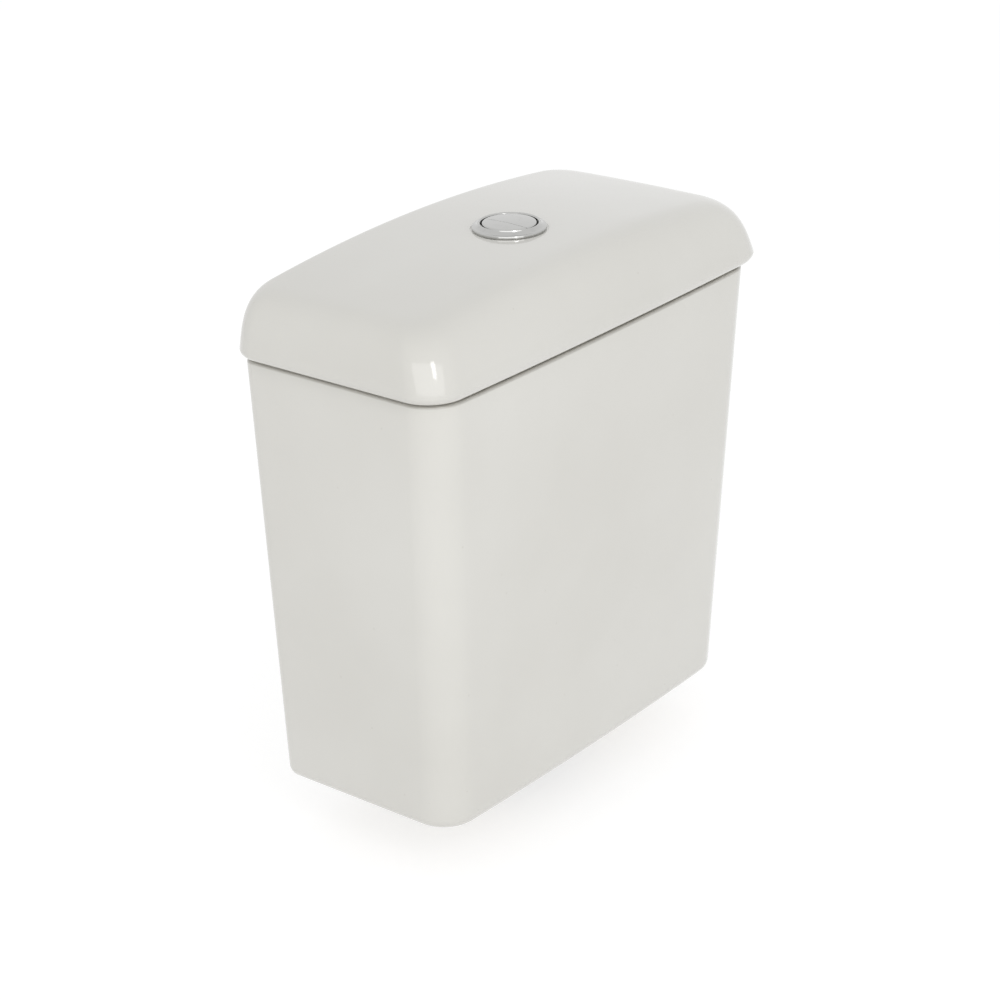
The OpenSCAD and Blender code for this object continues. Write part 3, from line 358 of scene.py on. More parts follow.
# a closed loop wound up a bar: a thread ridge or a spring coil
def wind(bm, loop, at, rise, turns, perTurn):
    work = bmesh.new()
    work.faces.new([work.verts.new((r, 0, z)) for r, z in loop])
    bmesh.ops.delete(work, geom=work.faces[:], context="FACES_ONLY")
    steps = int(turns * perTurn)
    bmesh.ops.spin(work, geom=work.verts[:] + work.edges[:], cent=(0, 0, 0), axis=(0, 0, 1),
                   angle=2 * math.pi * turns, dvec=(0, 0, rise / steps), steps=steps)
    bmesh.ops.holes_fill(work, edges=work.edges[:], sides=len(loop))
    bmesh.ops.recalc_face_normals(work, faces=work.faces[:])
    moved(work, at)
    join(bm, work)


def thread(bm, at, radius, low, high, pitch, depth, perTurn):
    crest = 0.12 * pitch
    middle = low + pitch / 2
    root = radius - depth - 0.3
    loop = [(root, low), (radius, middle - crest), (radius, middle + crest), (root, low + pitch)]
    rise = high - low - pitch
    wind(bm, loop, at, rise, rise / pitch, perTurn)


def carve(obj, cutter):
    toMetres(cutter)
    bmesh.ops.recalc_face_normals(cutter, faces=cutter.faces[:])
    mesh = meshFrom(cutter, "cutter")
    tool = bpy.data.objects.new("cutter", mesh)
    scene.collection.objects.link(tool)
    mod = obj.modifiers.new("carve", "BOOLEAN")
    mod.operation = "DIFFERENCE"
    mod.solver = "EXACT"
    mod.use_self = True
    mod.object = tool
    shaped = bpy.data.meshes.new_from_object(obj.evaluated_get(bpy.context.evaluated_depsgraph_get()))
    obj.modifiers.clear()
    spare = obj.data
    obj.data = shaped
    bpy.data.meshes.remove(spare)
    bpy.data.objects.remove(tool)
    bpy.data.meshes.remove(mesh)


# finishes a piece: cuts, what is added after them, shading, eased edges and its place in the frame
def piece(name, bm, body, mat, nodes, cutter=None, ease=0.0, sharp=38, extra=None):
    toMetres(bm)
    obj = bpy.data.objects.new(name, meshFrom(bm, name))
    scene.collection.objects.link(obj)
    if cutter is not None:
        carve(obj, cutter)
    if extra is not None:
        toMetres(extra)
        whole = bmesh.new()
        whole.from_mesh(obj.data)
        join(whole, extra)
        whole.to_mesh(obj.data)
        whole.free()
    obj.data.name = name
    obj.data.shade_smooth()
    obj.data.set_sharp_from_angle(angle=math.radians(sharp))
    obj.data.materials.clear()
    obj.data.materials.append(mat)
    if ease:
        mod = obj.modifiers.new("ease", "BEVEL")
        mod.width = ease * 0.001
        mod.segments = 2
        mod.limit_method = "ANGLE"
        mod.angle_limit = math.radians(50)
        mod.harden_normals = True
    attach(obj, body)
    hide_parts(*nodes)
    return obj


# a rounded rectangle as a bare loop of edges, its front bowed out
def outline(bm, halfW, front, back, frontCorner, backCorner, z, bow):
    work = bmesh.new()
    bmesh.ops.create_cube(work, size=1)
    for v in work.verts:
        v.co = (2 * halfW * v.co.x, back if v.co.y > 0 else -front, v.co.z)
    for side, radius, segments in ((-1, frontCorner, 20), (1, backCorner, 12)):
        upright = [e for e in work.edges if abs(e.verts[0].co.z - e.verts[1].co.z) > 0.5]
        corners = [e for e in upright if e.verts[0].co.y * side > 0]
        eased(work, corners, radius, segments, clamp=False)
    bmesh.ops.subdivide_edges(work, edges=[e for e in work.edges if e.calc_length() > 200], cuts=47)
    bmesh.ops.subdivide_edges(work, edges=[e for e in work.edges if 60 < e.calc_length() < 200], cuts=19)
    bmesh.ops.delete(work, geom=[f for f in work.faces if min(v.co.z for v in f.verts) < 0],
                     context="FACES")
    bmesh.ops.dissolve_faces(work, faces=work.faces[:])
    bmesh.ops.delete(work, geom=work.faces[:], context="FACES_ONLY")
    for v in work.verts:
        v.co.y -= bow * max(0, -v.co.y / front) * max(0, 1 - (v.co.x / halfW) ** 2)
        v.co.z = z
    count = len(bm.edges)
    join(bm, work)
    bm.edges.ensure_lookup_table()
    return bm.edges[count:]


tank = Sizes(halfWidth=185, halfDepth=87, height=331, sideLean=17, frontLean=16.5, frontCorner=27,
             backCorner=12, bow=3.6, baseRoll=9, wall=11, floor=12, innerFront=4, innerBack=8,
             floorFillet=8, rim=2.4, heights=(70, 130, 190, 250, 300), lowest=30)
holes = Sizes(outlet=32, bolt=6, boltX=75, fill=13, fillAt=(112, 8), screw=4, screwX=125, screwZ=286,
              drillFrom=-2, drillLong=16, screwFrom=74, screwLong=15)


def tankLoop(bm, z, inset):
    drop = 1 - z / tank.height
    return outline(bm, tank.halfWidth - tank.sideLean * drop - inset,
                   tank.halfDepth - tank.frontLean * drop - inset, tank.halfDepth - inset,
                   max(tank.frontCorner - inset, tank.innerFront),
                   max(tank.backCorner - inset, tank.innerBack), z, tank.bow)


# the two legs of a quarter round of radius 1
def quarter(steps):
    angles = [math.pi / 2 * k / steps for k in range(steps + 1)]
    return [(1 - math.cos(a), 1 - math.sin(a)) for a in angles]


# heights and insets: up the inside from the floor, over the rim and down to the foot
levels = [(tank.floor + tank.floorFillet * a, tank.wall + tank.floorFillet * b) for a, b in quarter(6)]
levels += [(z, tank.wall) for z in tank.heights]
levels += [(tank.height - tank.rim * b, tank.wall - tank.rim * a) for a, b in quarter(4)]
levels += [(tank.height - tank.rim * a, tank.rim * b) for a, b in quarter(4)]
levels += [(z, 0) for z in (*reversed(tank.heights), tank.lowest)]
levels += [(tank.baseRoll * a, tank.baseRoll * b) for a, b in reversed(quarter(8))]
bm = bmesh.new()
loops = [tankLoop(bm, z, inset) for z, inset in levels]
for first, second in zip(loops, loops[1:]):
    bmesh.ops.bridge_loops(bm, edges=first + second)
for loop in (loops[0], loops[-1]):
    bmesh.ops.edgeloop_fill(bm, edges=loop)
bmesh.ops.recalc_face_normals(bm, faces=bm.faces[:])
cutter = bmesh.new()
bar(cutter, (0, 0, holes.drillFrom), holes.drillLong, holes.outlet, ease=0, sides=96)
bar(cutter, (*holes.fillAt, holes.drillFrom), holes.drillLong, holes.fill, ease=0, sides=64)
for side in (-1, 1):
    bar(cutter, (side * holes.boltX, 0, holes.drillFrom), holes.drillLong, holes.bolt, ease=0, sides=48)
    bar(cutter, (side * holes.screwX, holes.screwFrom, holes.screwZ), holes.screwLong,
        holes.screw, "Y", 0, 48)
piece("tankShell", bm, "tank", tankGlaze, ["cistern_tank"], cutter, ease=0.8)
print("tank shell built")


# insets are for the sides, the front and the back
lid = Sizes(seam=332.5, halfWidth=193, front=92, back=90, frontCorner=26, backCorner=20, bow=3.6,
            foot=(10, 7, 5), lip=7, sideHeight=42.5, crown=14, crownDepth=1.5, shoulder=(36.5, 44.5, 11.5),
            lean=(7, 11.5, 1), curve=3.4, wall=9, rib=6, ribOut=(21, 18, 16), ribIn=(27, 24, 22),
            cavity=(41, 49, 26), hole=22.6, seat=27.5, seatZ=390, nutSeat=31.6, nutZ=381.5, buttonY=-2.8)
buttonAt = (0, lid.buttonY)


def crownAt(x, y):
    middle = (lid.back - lid.front) / 2
    half = (lid.back + lid.front) / 2
    along = 1 - (x / lid.halfWidth) ** 2
    across = 1 - ((y - middle) / half) ** 2
    return lid.crown * along + lid.crownDepth * across


def inFrom(p, inset):
    side, front, back = inset
    return p.x * (1 - side / lid.halfWidth), p.y * (1 - (front / lid.front if p.y < 0 else back / lid.back))


def mixed(first, second, part):
    return [a + (b - a) * part for a, b in zip(first, second)]


# where each point of the lid's outline goes, ring by ring: out over the top, down, and back in below
def lidRings():
    rings = []
    middle = Vector(buttonAt)

    def roundPoint(p, radius):
        return middle + (Vector((p.x, p.y)) - middle).normalized() * radius

    def circle(radius, z):
        def place(p):
            return *roundPoint(p, radius), z
        rings.append(place)

    def level(z, share, inset):
        def place(p):
            x, y = inFrom(p, inset)
            return x, y, lid.seam + z + share * crownAt(x, y)
        rings.append(place)

    # crowned face between the round seat and a level; part runs from 0 to 1
    def face(part, radius, inset, z):
        def place(p):
            x, y = inFrom(p, inset)
            out = roundPoint(p, radius)
            x, y = out.x + (x - out.x) * part, out.y + (y - out.y) * part
            return x, y, lid.seam + z + crownAt(x, y)
        rings.append(place)

    circle(lid.hole, lid.nutZ)
    circle(lid.hole, lid.seatZ - 0.5)
    circle(lid.hole + 0.5, lid.seatZ)
    circle(lid.seat, lid.seatZ)
    top = lid.sideHeight
    for part in (0, 0.012, 0.05, 0.11, 0.18, 0.26, 0.35, 0.45, 0.55, 0.65, 0.75, 0.84, 0.92):
        face(part, lid.seat + 0.25, lid.shoulder, top)
    for k in range(25):
        angle = math.radians(90 - 90 * k / 24)
        turned = 1 - math.cos(angle) ** (2 / lid.curve) if k else 1
        risen = math.sin(angle) ** (2 / lid.curve)
        z = lid.lip + (top - lid.lip) * risen
        level(z, z / top, [lean * risen + (width - lean) * turned
                           for lean, width in zip(lid.lean, lid.shoulder)])
    for k in range(1, 10):
        angle = math.radians(90 - 10 * k)
        z = lid.lip * (1 - math.cos(angle))
        level(z, z / top, [s * (1 - math.sin(angle)) for s in lid.foot])
    level(0, 0, mixed(lid.ribOut, lid.foot, 0.06))
    level(-0.6, 0, lid.ribOut)
    level(1 - lid.rib, 0, lid.ribOut)
    level(-lid.rib, 0, mixed(lid.ribOut, lid.ribIn, 0.17))
    level(-lid.rib, 0, mixed(lid.ribOut, lid.ribIn, 0.83))
    level(1 - lid.rib, 0, lid.ribIn)
    inner = top - lid.wall
    for k in range(13):
        angle = math.radians(90 * k / 12)
        part = 1 - math.cos(angle) ** (2 / lid.curve) if k < 12 else 1
        z = lid.lip + (inner - lid.lip) * math.sin(angle) ** (2 / lid.curve)
        level(z, z / inner, mixed(lid.ribIn, lid.cavity, part))
    for part in (0.85, 0.68, 0.5, 0.32, 0.16, 0.05, 0):
        face(part, lid.nutSeat + 0.2, lid.cavity, inner)
    circle(lid.nutSeat, lid.nutZ)
    return rings


bm = bmesh.new()
loopEdges = list(outline(bm, lid.halfWidth, lid.front, lid.back, lid.frontCorner,
                         lid.backCorner, 0, lid.bow))
loopVerts = bm.verts[:]
loops = []
for place in lidRings():
    copy = bmesh.ops.duplicate(bm, geom=loopVerts + loopEdges)
    for v in loopVerts:
        copy["vert_map"][v].co = place(v.co)
    loops.append([g for g in copy["geom"] if isinstance(g, bmesh.types.BMEdge)])
for first, second in zip(loops, loops[1:] + loops[:1]):
    bmesh.ops.bridge_loops(bm, edges=first + second)
bmesh.ops.delete(bm, geom=loopVerts, context="VERTS")
bmesh.ops.recalc_face_normals(bm, faces=bm.faces[:])
piece("lidShell", bm, "lid", lidGlaze, ["cistern_lid"])

buffers = Sizes(x=111, front=-83.8, back=81.5, radius=3.6, low=331, high=332.5, dish=2.3, dishFloor=2,
                dishDeep=0.4)
bm = bmesh.new()
for x in (-buffers.x, buffers.x):
    for y in (buffers.front, buffers.back):
        sunk = buffers.high - buffers.dishDeep
        turn(bm, [(0, buffers.low), (buffers.radius, buffers.low, 0.25),
                  (buffers.radius, buffers.high, 0.4), (buffers.dish, buffers.high, 0.15),
                  (buffers.dishFloor, sunk, 0.1), (0, sunk)], (x, y), 40)
piece("seamBuffers", bm, "tank", rubber, ["lid_buffers"])
print("lid shell and buffers built")


bezel = Sizes(low=390.8, inner=20.6, outer=26.5, height=4.4, edge=1.4, lip=1.4, skirt=390.1, skirtIn=25.7,
              slopeIn=0.5, slopeLow=1.9, sweep=75)
bm = bmesh.new()
foot = (bezel.outer - bezel.slopeIn, bezel.low + bezel.slopeLow)
run = foot[0] - bezel.inner - bezel.lip
rise = bezel.height - bezel.slopeLow
sweep = math.radians(bezel.sweep)
slope = []
for k in range(1, 16):
    angle = sweep * k / 15
    risen = (1 - math.cos(angle)) / (1 - math.cos(sweep))
    slope.append((foot[0] - run * math.sin(angle) / math.sin(sweep), foot[1] + rise * risen))
top = bezel.low + bezel.height
turn(bm, [(bezel.inner, bezel.low), (bezel.skirtIn, bezel.low), (bezel.skirtIn, bezel.skirt),
          (bezel.outer, bezel.skirt, 0.25), (bezel.outer, bezel.low + bezel.edge, 0.35), foot, *slope,
          (bezel.inner + 0.9, top, 0.3), (bezel.inner, top - 0.5, 0.35)], buttonAt, 160)
piece("bezelRing", bm, "lid", chrome, ["button_bezel"], sharp=50)

gasket = Sizes(inner=21.65, outer=25.5, low=390, high=390.8, groove=24.1)
bm = bmesh.new()
turn(bm, [(gasket.inner, gasket.low), (gasket.outer, gasket.low, 0.2), (gasket.outer, gasket.high, 0.2),
          *faceGroove(gasket.groove, 0.3, 0.25, gasket.high), (gasket.inner, gasket.high, 0.2)], buttonAt)
piece("bezelGasket", bm, "lid", rubber, ["bezel_gasket"])

button = Sizes(radius=19.4, top=395, bottom=383, dome=0.7, skin=2.4, wall=1.6, split=-4, gap=0.3, rodX=12,
               rodY=3.2, boss=5, bossLong=10, ease=0.9)


# side 1 is the large half, side -1 the small one
def halfButton(name, body, node, side):
    bm = bmesh.new()
    r = button.radius
    flat = r - button.ease
    under = button.top - button.skin
    dome = [(flat * k / 12, button.top + button.dome * (1 - (k / 12) ** 2)) for k in range(11, -1, -1)]
    turn(bm, [(0, under), (r - button.wall, under, 0.4), (r - button.wall, button.bottom, 0.3),
              (r, button.bottom, 0.3), (r, button.top, button.ease), *dome], buttonAt, 160)
    edge = button.split + side * button.gap / 2
    cut = bmesh.ops.bisect_plane(bm, geom=bm.verts[:] + bm.edges[:] + bm.faces[:], plane_co=(edge, 0, 0),
                                 plane_no=(-side, 0, 0), clear_outer=True)
    rim = [g for g in cut["geom_cut"] if isinstance(g, bmesh.types.BMEdge)]
    bmesh.ops.edgeloop_fill(bm, edges=rim)
    bmesh.ops.recalc_face_normals(bm, faces=bm.faces[:])
    crest = [e for e in rim if e.is_valid and min(v.co.z for v in e.verts) > button.top - 0.5]
    eased(bm, crest, 0.2, 3, clamp=False)
    reach = math.sqrt((r - 1) ** 2 - edge ** 2) - 0.4
    block(bm, (edge + side * 0.05, -reach, button.bottom),
          (edge + side * button.wall, reach, button.top - 1.5), 0.15, at=buttonAt)
    bar(bm, (side * button.rodX, -side * button.rodY, button.bottom), button.bossLong, button.boss)
    piece(name, bm, body, chrome, [node], sharp=50)


halfButton("fullButton", "full_button", "full_flush_button", 1)
halfButton("halfButton", "half_button", "half_flush_button", -1)

barrel = Sizes(radius=21.6, core=21.1, bore=20.1, low=352.8, high=390.8, floor=355.8, rodHole=3, drain=3,
               drainY=13, drillLong=7, pitch=2, threadDeep=0.5)
bm = bmesh.new()
turn(bm, [(0, barrel.low), (barrel.core, barrel.low, 0.6), (barrel.core, barrel.high),
          (barrel.bore, barrel.high), (barrel.bore, barrel.floor, 0.6), (0, barrel.floor)], buttonAt)
cutter = bmesh.new()
drillFrom = barrel.low - 2
for side in (-1, 1):
    bar(cutter, (side * button.rodX, -side * button.rodY, drillFrom), barrel.drillLong,
        barrel.rodHole, ease=0)
    bar(cutter, (0, lid.buttonY + side * barrel.drainY, drillFrom), barrel.drillLong, barrel.drain, ease=0)
extra = bmesh.new()
thread(extra, buttonAt, barrel.radius, barrel.low + 1, barrel.high - 1.5, barrel.pitch,
       barrel.threadDeep, 72)
piece("buttonBarrel", bm, "lid", white, ["button_barrel"], cutter, extra=extra)

barrelNut = Sizes(bore=21.65, radius=29.6, low=373.5, high=381.5, grips=8, grip=4.5)
bm = bmesh.new()
ring(bm, (barrelNut.bore, barrelNut.radius), barrelNut.low, barrelNut.high, (0.5, 0.8, 0.5, 0), buttonAt)
cutter = bmesh.new()
for place in around(barrelNut.grips, barrelNut.radius + 2, buttonAt):
    bar(cutter, (*place, barrelNut.low - 2), 8, barrelNut.grip, ease=0)
piece("barrelNut", bm, "lid", white, ["barrel_nut"], cutter, ease=0.4)

rod = Sizes(radius=2.5, tip=288.4, top=391.6, core=2.2, threadLow=326, threadHigh=352, pitch=1.4,
            threadDeep=0.3)
spring = Sizes(radius=4.1, wire=0.45, low=356.3, high=382.5, turns=6)
for side, body, joint, name in ((1, "full_button", "full_press", "full"),
                                (-1, "half_button", "half_press", "half")):
    at = (side * button.rodX, -side * button.rodY)
    bm = bmesh.new()
    turn(bm, [*arc(0, rod.tip + rod.radius, rod.radius, -90, 0, 15), (rod.radius, rod.threadLow, 0.2),
              (rod.core, rod.threadLow + 0.3), (rod.core, rod.threadHigh - 0.3),
              (rod.radius, rod.threadHigh, 0.2), (rod.radius, rod.top, 0.3), (0, rod.top)], at, 32)
    thread(bm, at, rod.radius, rod.threadLow, rod.threadHigh, rod.pitch, rod.threadDeep, 24)
    piece(name + "Rod", bm, body, grey, [name + "_push_rod"])
    bm = bmesh.new()
    loop = arc(spring.radius, spring.low, spring.wire, 0, 324, 36)
    wind(bm, loop, at, spring.high - spring.low, spring.turns, 40)
    coil = piece(name + "Spring", bm, "lid", steel, [name + "_return_spring"])
    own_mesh(coil)
print("button group built")


base = Sizes(bore=24.5, tail=29, core=28.1, low=-22, flange=42, flangeLow=15, flangeHigh=20, seat=27,
             seatTop=27, threadTop=11.5, pitch=3, threadDeep=0.9)
bm = bmesh.new()
turn(bm, [(base.bore, base.low, 0.4), (base.core, base.low, 0.8), (base.core, base.flangeLow),
          (base.flange, base.flangeLow, 0.4), (base.flange, base.flangeHigh, 1.0),
          (base.seat + 1, base.flangeHigh, 0.6), (base.seat, base.flangeHigh + 1.2, 0.5),
          (base.seat, base.seatTop, 0.4), (base.seat - 1.2, base.seatTop - 0.3, 0.2),
          (base.bore, base.seatTop - 0.8, 0.4)], steps=128)
thread(bm, (0, 0), base.tail, base.low + 0.6, base.threadTop, base.pitch, base.threadDeep, 96)
piece("valveBase", bm, "tank", white, ["valve_base"])

cage = Sizes(inner=29, outer=35, foot=(20, 22.5), ring=(44, 50), posts=6, half=2.5, beadHalf=1,
             beadOut=35.4)
bm = bmesh.new()
for low, high in (cage.foot, cage.ring):
    ring(bm, (cage.inner, cage.outer), low, high, (0.5, 0.5, 0.5, 0.5), steps=128)
postLow = cage.foot[1] - 1
fins(bm, cage.posts, (cage.inner + 0.5, -cage.half, postLow),
     (cage.outer - 0.5, cage.half, cage.ring[0] + 1), 0.7, shift=0.5)
fins(bm, cage.posts, (cage.outer - 1, -cage.beadHalf, postLow),
     (cage.beadOut, cage.beadHalf, cage.ring[1] - 1.5), 0.4, shift=0.5)
piece("valveCage", bm, "tank", white, ["valve_cage"])

baseWasher = Sizes(inner=29.05, outer=40, low=12, high=15, groove=13.5)
bm = bmesh.new()
turn(bm, [(baseWasher.inner, baseWasher.low, 0.4), (baseWasher.outer, baseWasher.low, 0.8),
          *grooves((baseWasher.groove,), baseWasher.outer, 0.4, 0.3),
          (baseWasher.outer, baseWasher.high, 0.8), (baseWasher.inner, baseWasher.high, 0.4)])
piece("baseWasher", bm, "tank", rubber, ["base_washer"])

backNut = Sizes(bore=29.05, body=34, flange=37, low=-10, flangeLow=-3, ribs=8, ribIn=31,
                ribOut=36.5, ribHalf=2.5)
bm = bmesh.new()
turn(bm, [(backNut.bore, backNut.low, 0.6), (backNut.body, backNut.low, 0.8),
          (backNut.body, backNut.flangeLow, 0.5), (backNut.flange, backNut.flangeLow, 0.5),
          (backNut.flange, 0, 0.3), (backNut.bore, 0, 0.3)], steps=128)
fins(bm, backNut.ribs, (backNut.ribIn, -backNut.ribHalf, backNut.low + 0.3),
     (backNut.ribOut, backNut.ribHalf, -1), 0.7)
piece("backNut", bm, "tank", white, ["back_nut"])

seal = Sizes(outer=45, inner=37.4, nose=35, throat=29.4, step=-10.4, noseTop=-14, low=-20, chamfer=3,
             lead=(3.7, 4), grooves=(-4.4, -6.4, -8.4))
bm = bmesh.new()
turn(bm, [(seal.inner, 0, 0.4), (seal.outer - seal.chamfer, 0, 1.2), (seal.outer, -seal.chamfer, 0.6),
          *grooves(seal.grooves, seal.outer, 0.8, -0.5, eases=(0.2, 0.15)),
          (seal.outer, seal.noseTop + seal.chamfer, 0.6), (seal.outer - seal.chamfer, seal.noseTop, 1.2),
          (seal.nose, seal.noseTop, 1.2), (seal.nose, seal.low, 0.9),
          (seal.throat + seal.lead[0], seal.low, 0.5), (seal.throat, seal.low + seal.lead[1], 0.5),
          (seal.throat, seal.step, 0.3), (seal.inner, seal.step, 0.4)], steps=128)
piece("couplingSeal", bm, "tank", rubber, ["coupling_seal"])

tower = Sizes(outer=32, inner=30, low=50, high=227, foot=34.5, footTop=55, band=33.5, bandLow=219, cap=222,
              bore=14.4, sides=4, window=(59, 99), windowHalf=11, slot=(118.5, 182.5), slotHalf=3.5,
              cutIn=20, cutOut=40, ventAt=25, vent=3, vents=6, ticks=9, tickFrom=122, tickStep=7,
              tickSide=4.6, tickDeep=0.45)
bm = bmesh.new()
turn(bm, [(tower.inner, tower.low, 0.3), (tower.foot, tower.low, 0.5), (tower.foot, tower.footTop, 0.5),
          (tower.outer, tower.footTop, 0.8), (tower.outer, tower.bandLow, 0.3),
          (tower.band, tower.bandLow, 0.4), (tower.band, tower.cap, 0.4), (tower.outer, tower.cap, 0.3),
          (tower.outer, tower.high, 0.6), (tower.bore, tower.high, 0.4), (tower.bore, tower.cap, 0.4),
          (tower.inner, tower.cap, 0.8)], steps=128)
cutter = bmesh.new()
fins(cutter, tower.sides, (tower.cutIn, -tower.windowHalf, tower.window[0]),
     (tower.cutOut, tower.windowHalf, tower.window[1]), 3, shift=0.5)
fins(cutter, tower.sides, (tower.cutIn, -tower.slotHalf, tower.slot[0]),
     (tower.cutOut, tower.slotHalf, tower.slot[1]), 2)
for tick in range(tower.ticks):
    z = tower.tickFrom + tower.tickStep * tick
    reach = 7 if tick % 4 == 0 else 5
    fins(cutter, tower.sides, (tower.outer - tower.tickDeep, tower.tickSide, z - 0.3),
         (tower.outer + 1, tower.tickSide + reach, z + 0.3), 0)
for place in around(tower.vents, tower.ventAt):
    bar(cutter, (*place, tower.cap - 2), 9, tower.vent, ease=0)
piece("valveTower", bm, "tank", white, ["valve_tower"], cutter, ease=0.3)

bridge = Sizes(low=227, top=230, inner=19.5, outer=31, cheekIn=18, cheekOut=22, half=9, pivot=284,
               ribIn=21.5, ribOut=26, ribHalf=1.5, ribTop=253, hole=2.05, window=(259, 272),
               windowHalf=4, cutReach=30)
bm = bmesh.new()
ring(bm, (bridge.inner, bridge.outer), bridge.low, bridge.top, (0.3, 0.3, 0.8, 0.6))
cheek = [(-bridge.half, bridge.low), (bridge.half, bridge.low),
         *arc(0, bridge.pivot, bridge.half, 0, 180, 10)]
rib = [(-bridge.ribHalf, bridge.low), (bridge.ribHalf, bridge.low), (bridge.ribHalf, bridge.ribTop),
       (-bridge.ribHalf, bridge.ribTop)]
for side in (-1, 1):
    slab(bm, cheek, side * bridge.cheekIn, side * bridge.cheekOut, 0.5)
    slab(bm, rib, side * bridge.ribIn, side * bridge.ribOut, 0.5)
cutter = bmesh.new()
bar(cutter, (0, -bridge.cutReach, bridge.pivot), 2 * bridge.cutReach, bridge.hole, "Y", 0)
block(cutter, (-bridge.windowHalf, -bridge.cutReach, bridge.window[0]),
      (bridge.windowHalf, bridge.cutReach, bridge.window[1]), 1.5)
piece("rockerBridge", bm, "tank", blue, ["rocker_bridge"], cutter)

pivotAt = (0, 0, bridge.pivot)
pin = Sizes(radius=2, half=23, head=3.5, headLong=1.6, ease=0.3, headEase=0.4)
bm = bmesh.new()
crossPin(bm, pin, pivotAt)
piece("rockerPin", bm, "tank", steel, ["rocker_pin"])

rocker = Sizes(hub=5, hubOut=-17.6, side=-0.3, outer=-9.2, inner=-3.2, padOut=2.6, padX=16.5, padIn=6.2,
               pad=4, padLow=1.2, padRoot=-1.6, belly=(3, -4), nose=20, noseHalf=1.8, noseR=2.5, hole=2.05)
arm = [(0, rocker.pad), (rocker.padX, rocker.pad), (rocker.padX, rocker.padLow), rocker.belly]
pad = [(rocker.padIn, rocker.pad), (rocker.padX, rocker.pad), (rocker.padX, rocker.padLow),
       (rocker.padIn, rocker.padRoot)]
beak = [(0, rocker.pad), (-rocker.nose, rocker.noseHalf), (-rocker.nose, -rocker.noseHalf),
        (-rocker.belly[0], rocker.belly[1])]
for name, body, mat, spin in (("fullRocker", "full_rocker", white, 0),
                              ("halfRocker", "half_rocker", grey, math.pi)):
    bm = bmesh.new()
    slab(bm, arc(0, 0, rocker.hub, 0, 350, 10), rocker.hubOut, rocker.side, 0.4, pivotAt, spin)
    slab(bm, arm, rocker.outer, rocker.side - 0.02, 0.5, pivotAt, spin)
    slab(bm, pad, rocker.outer + 0.3, rocker.padOut, 0.5, pivotAt, spin)
    slab(bm, beak, rocker.outer, rocker.inner, 0.5, pivotAt, spin)
    slab(bm, arc(-rocker.nose, 0, rocker.noseR, 0, 345, 15), rocker.outer, rocker.inner, 0.3,
         pivotAt, spin)
    cutter = bmesh.new()
    bar(cutter, (0, -25, bridge.pivot), 50, rocker.hole, "Y", 0)
    piece(name, bm, body, mat, [body], cutter)

overflow = Sizes(inner=12, outer=14, low=18, flangeLow=30, flange=27, top=262, marks=(251, 253.5, 256))
bm = bmesh.new()
turn(bm, [(overflow.inner, overflow.low, 0.4), (overflow.outer, overflow.low, 0.6),
          (overflow.outer, overflow.flangeLow, 0.3), (overflow.flange, overflow.flangeLow, 0.4),
          (overflow.flange, overflow.flangeLow + 2, 0.5), (overflow.outer + 3, overflow.flangeLow + 4, 2),
          (overflow.outer, overflow.flangeLow + 10, 3),
          *grooves(overflow.marks, overflow.outer, 0.3, 0.35), (overflow.outer, overflow.top, 0.7),
          (overflow.inner, overflow.top, 0.7)], steps=128)
piece("overflowTube", bm, "flush_valve", white, ["overflow_tube"])

stirrup = Sizes(bore=14.05, collar=16.5, low=240, high=247, armIn=24.5, armOut=28, armNear=5, armFar=9.2,
                foot=4.7, footHigh=5, lugIn=15.2, lugNear=3.2, lugFar=8.9, lugThick=3,
                lugs=((-1, 287), (1, 297.24)))
bm = bmesh.new()
ring(bm, (stirrup.bore, stirrup.collar), stirrup.low, stirrup.high, (0.4, 0.5, 0.6, 0.4))
# foot, upright arm, lug and outer rib on either side; the blocks stop short of one another's faces
for side, lug in stirrup.lugs:
    inside = side * (stirrup.armOut - 1)
    block(bm, (side * (stirrup.collar - 1), -stirrup.foot, stirrup.low + 0.3),
          (inside, stirrup.foot, stirrup.low + stirrup.footHigh), 0.6)
    block(bm, (side * stirrup.armIn, -side * stirrup.armNear, stirrup.low),
          (side * stirrup.armOut, side * stirrup.armFar, lug + stirrup.lugThick), 0.6)
    block(bm, (side * stirrup.lugIn, side * stirrup.lugNear, lug),
          (inside, side * stirrup.lugFar, lug + stirrup.lugThick - 0.3), 0.6)
    block(bm, (side * (stirrup.armOut - 0.5), -1, stirrup.low + 1),
          (side * (stirrup.armOut + 1.2), 1, lug - 6), 0.4)
piece("liftStirrup", bm, "flush_valve", blue, ["lift_stirrup"])


# a float open below: an inner wall, a roof and a grooved outer wall
def bellProfile(sizes, rings):
    outerIn = sizes.outer - sizes.skin
    return [(sizes.bore, sizes.low, 0.3), (sizes.inner, sizes.low, 0.3), (sizes.inner, sizes.roof, 1),
            (outerIn, sizes.roof, 1), (outerIn, sizes.low, 0.3), (sizes.outer, sizes.low, 0.3), *rings,
            (sizes.outer, sizes.top - 3, 1.2), (sizes.outer - 3, sizes.top, 1.2),
            (sizes.bore, sizes.top, 0.3)]


bell = Sizes(bore=14.05, inner=15.65, outer=28.8, skin=1.6, low=90, roof=136, top=138,
             rings=(98, 106, 114, 122, 130))
bm = bmesh.new()
turn(bm, bellProfile(bell, grooves(bell.rings, bell.outer, 0.4, 0.5, eases=(0.1, 0.1))), steps=128)
piece("flushFloat", bm, "flush_valve", blue, ["flush_float"])

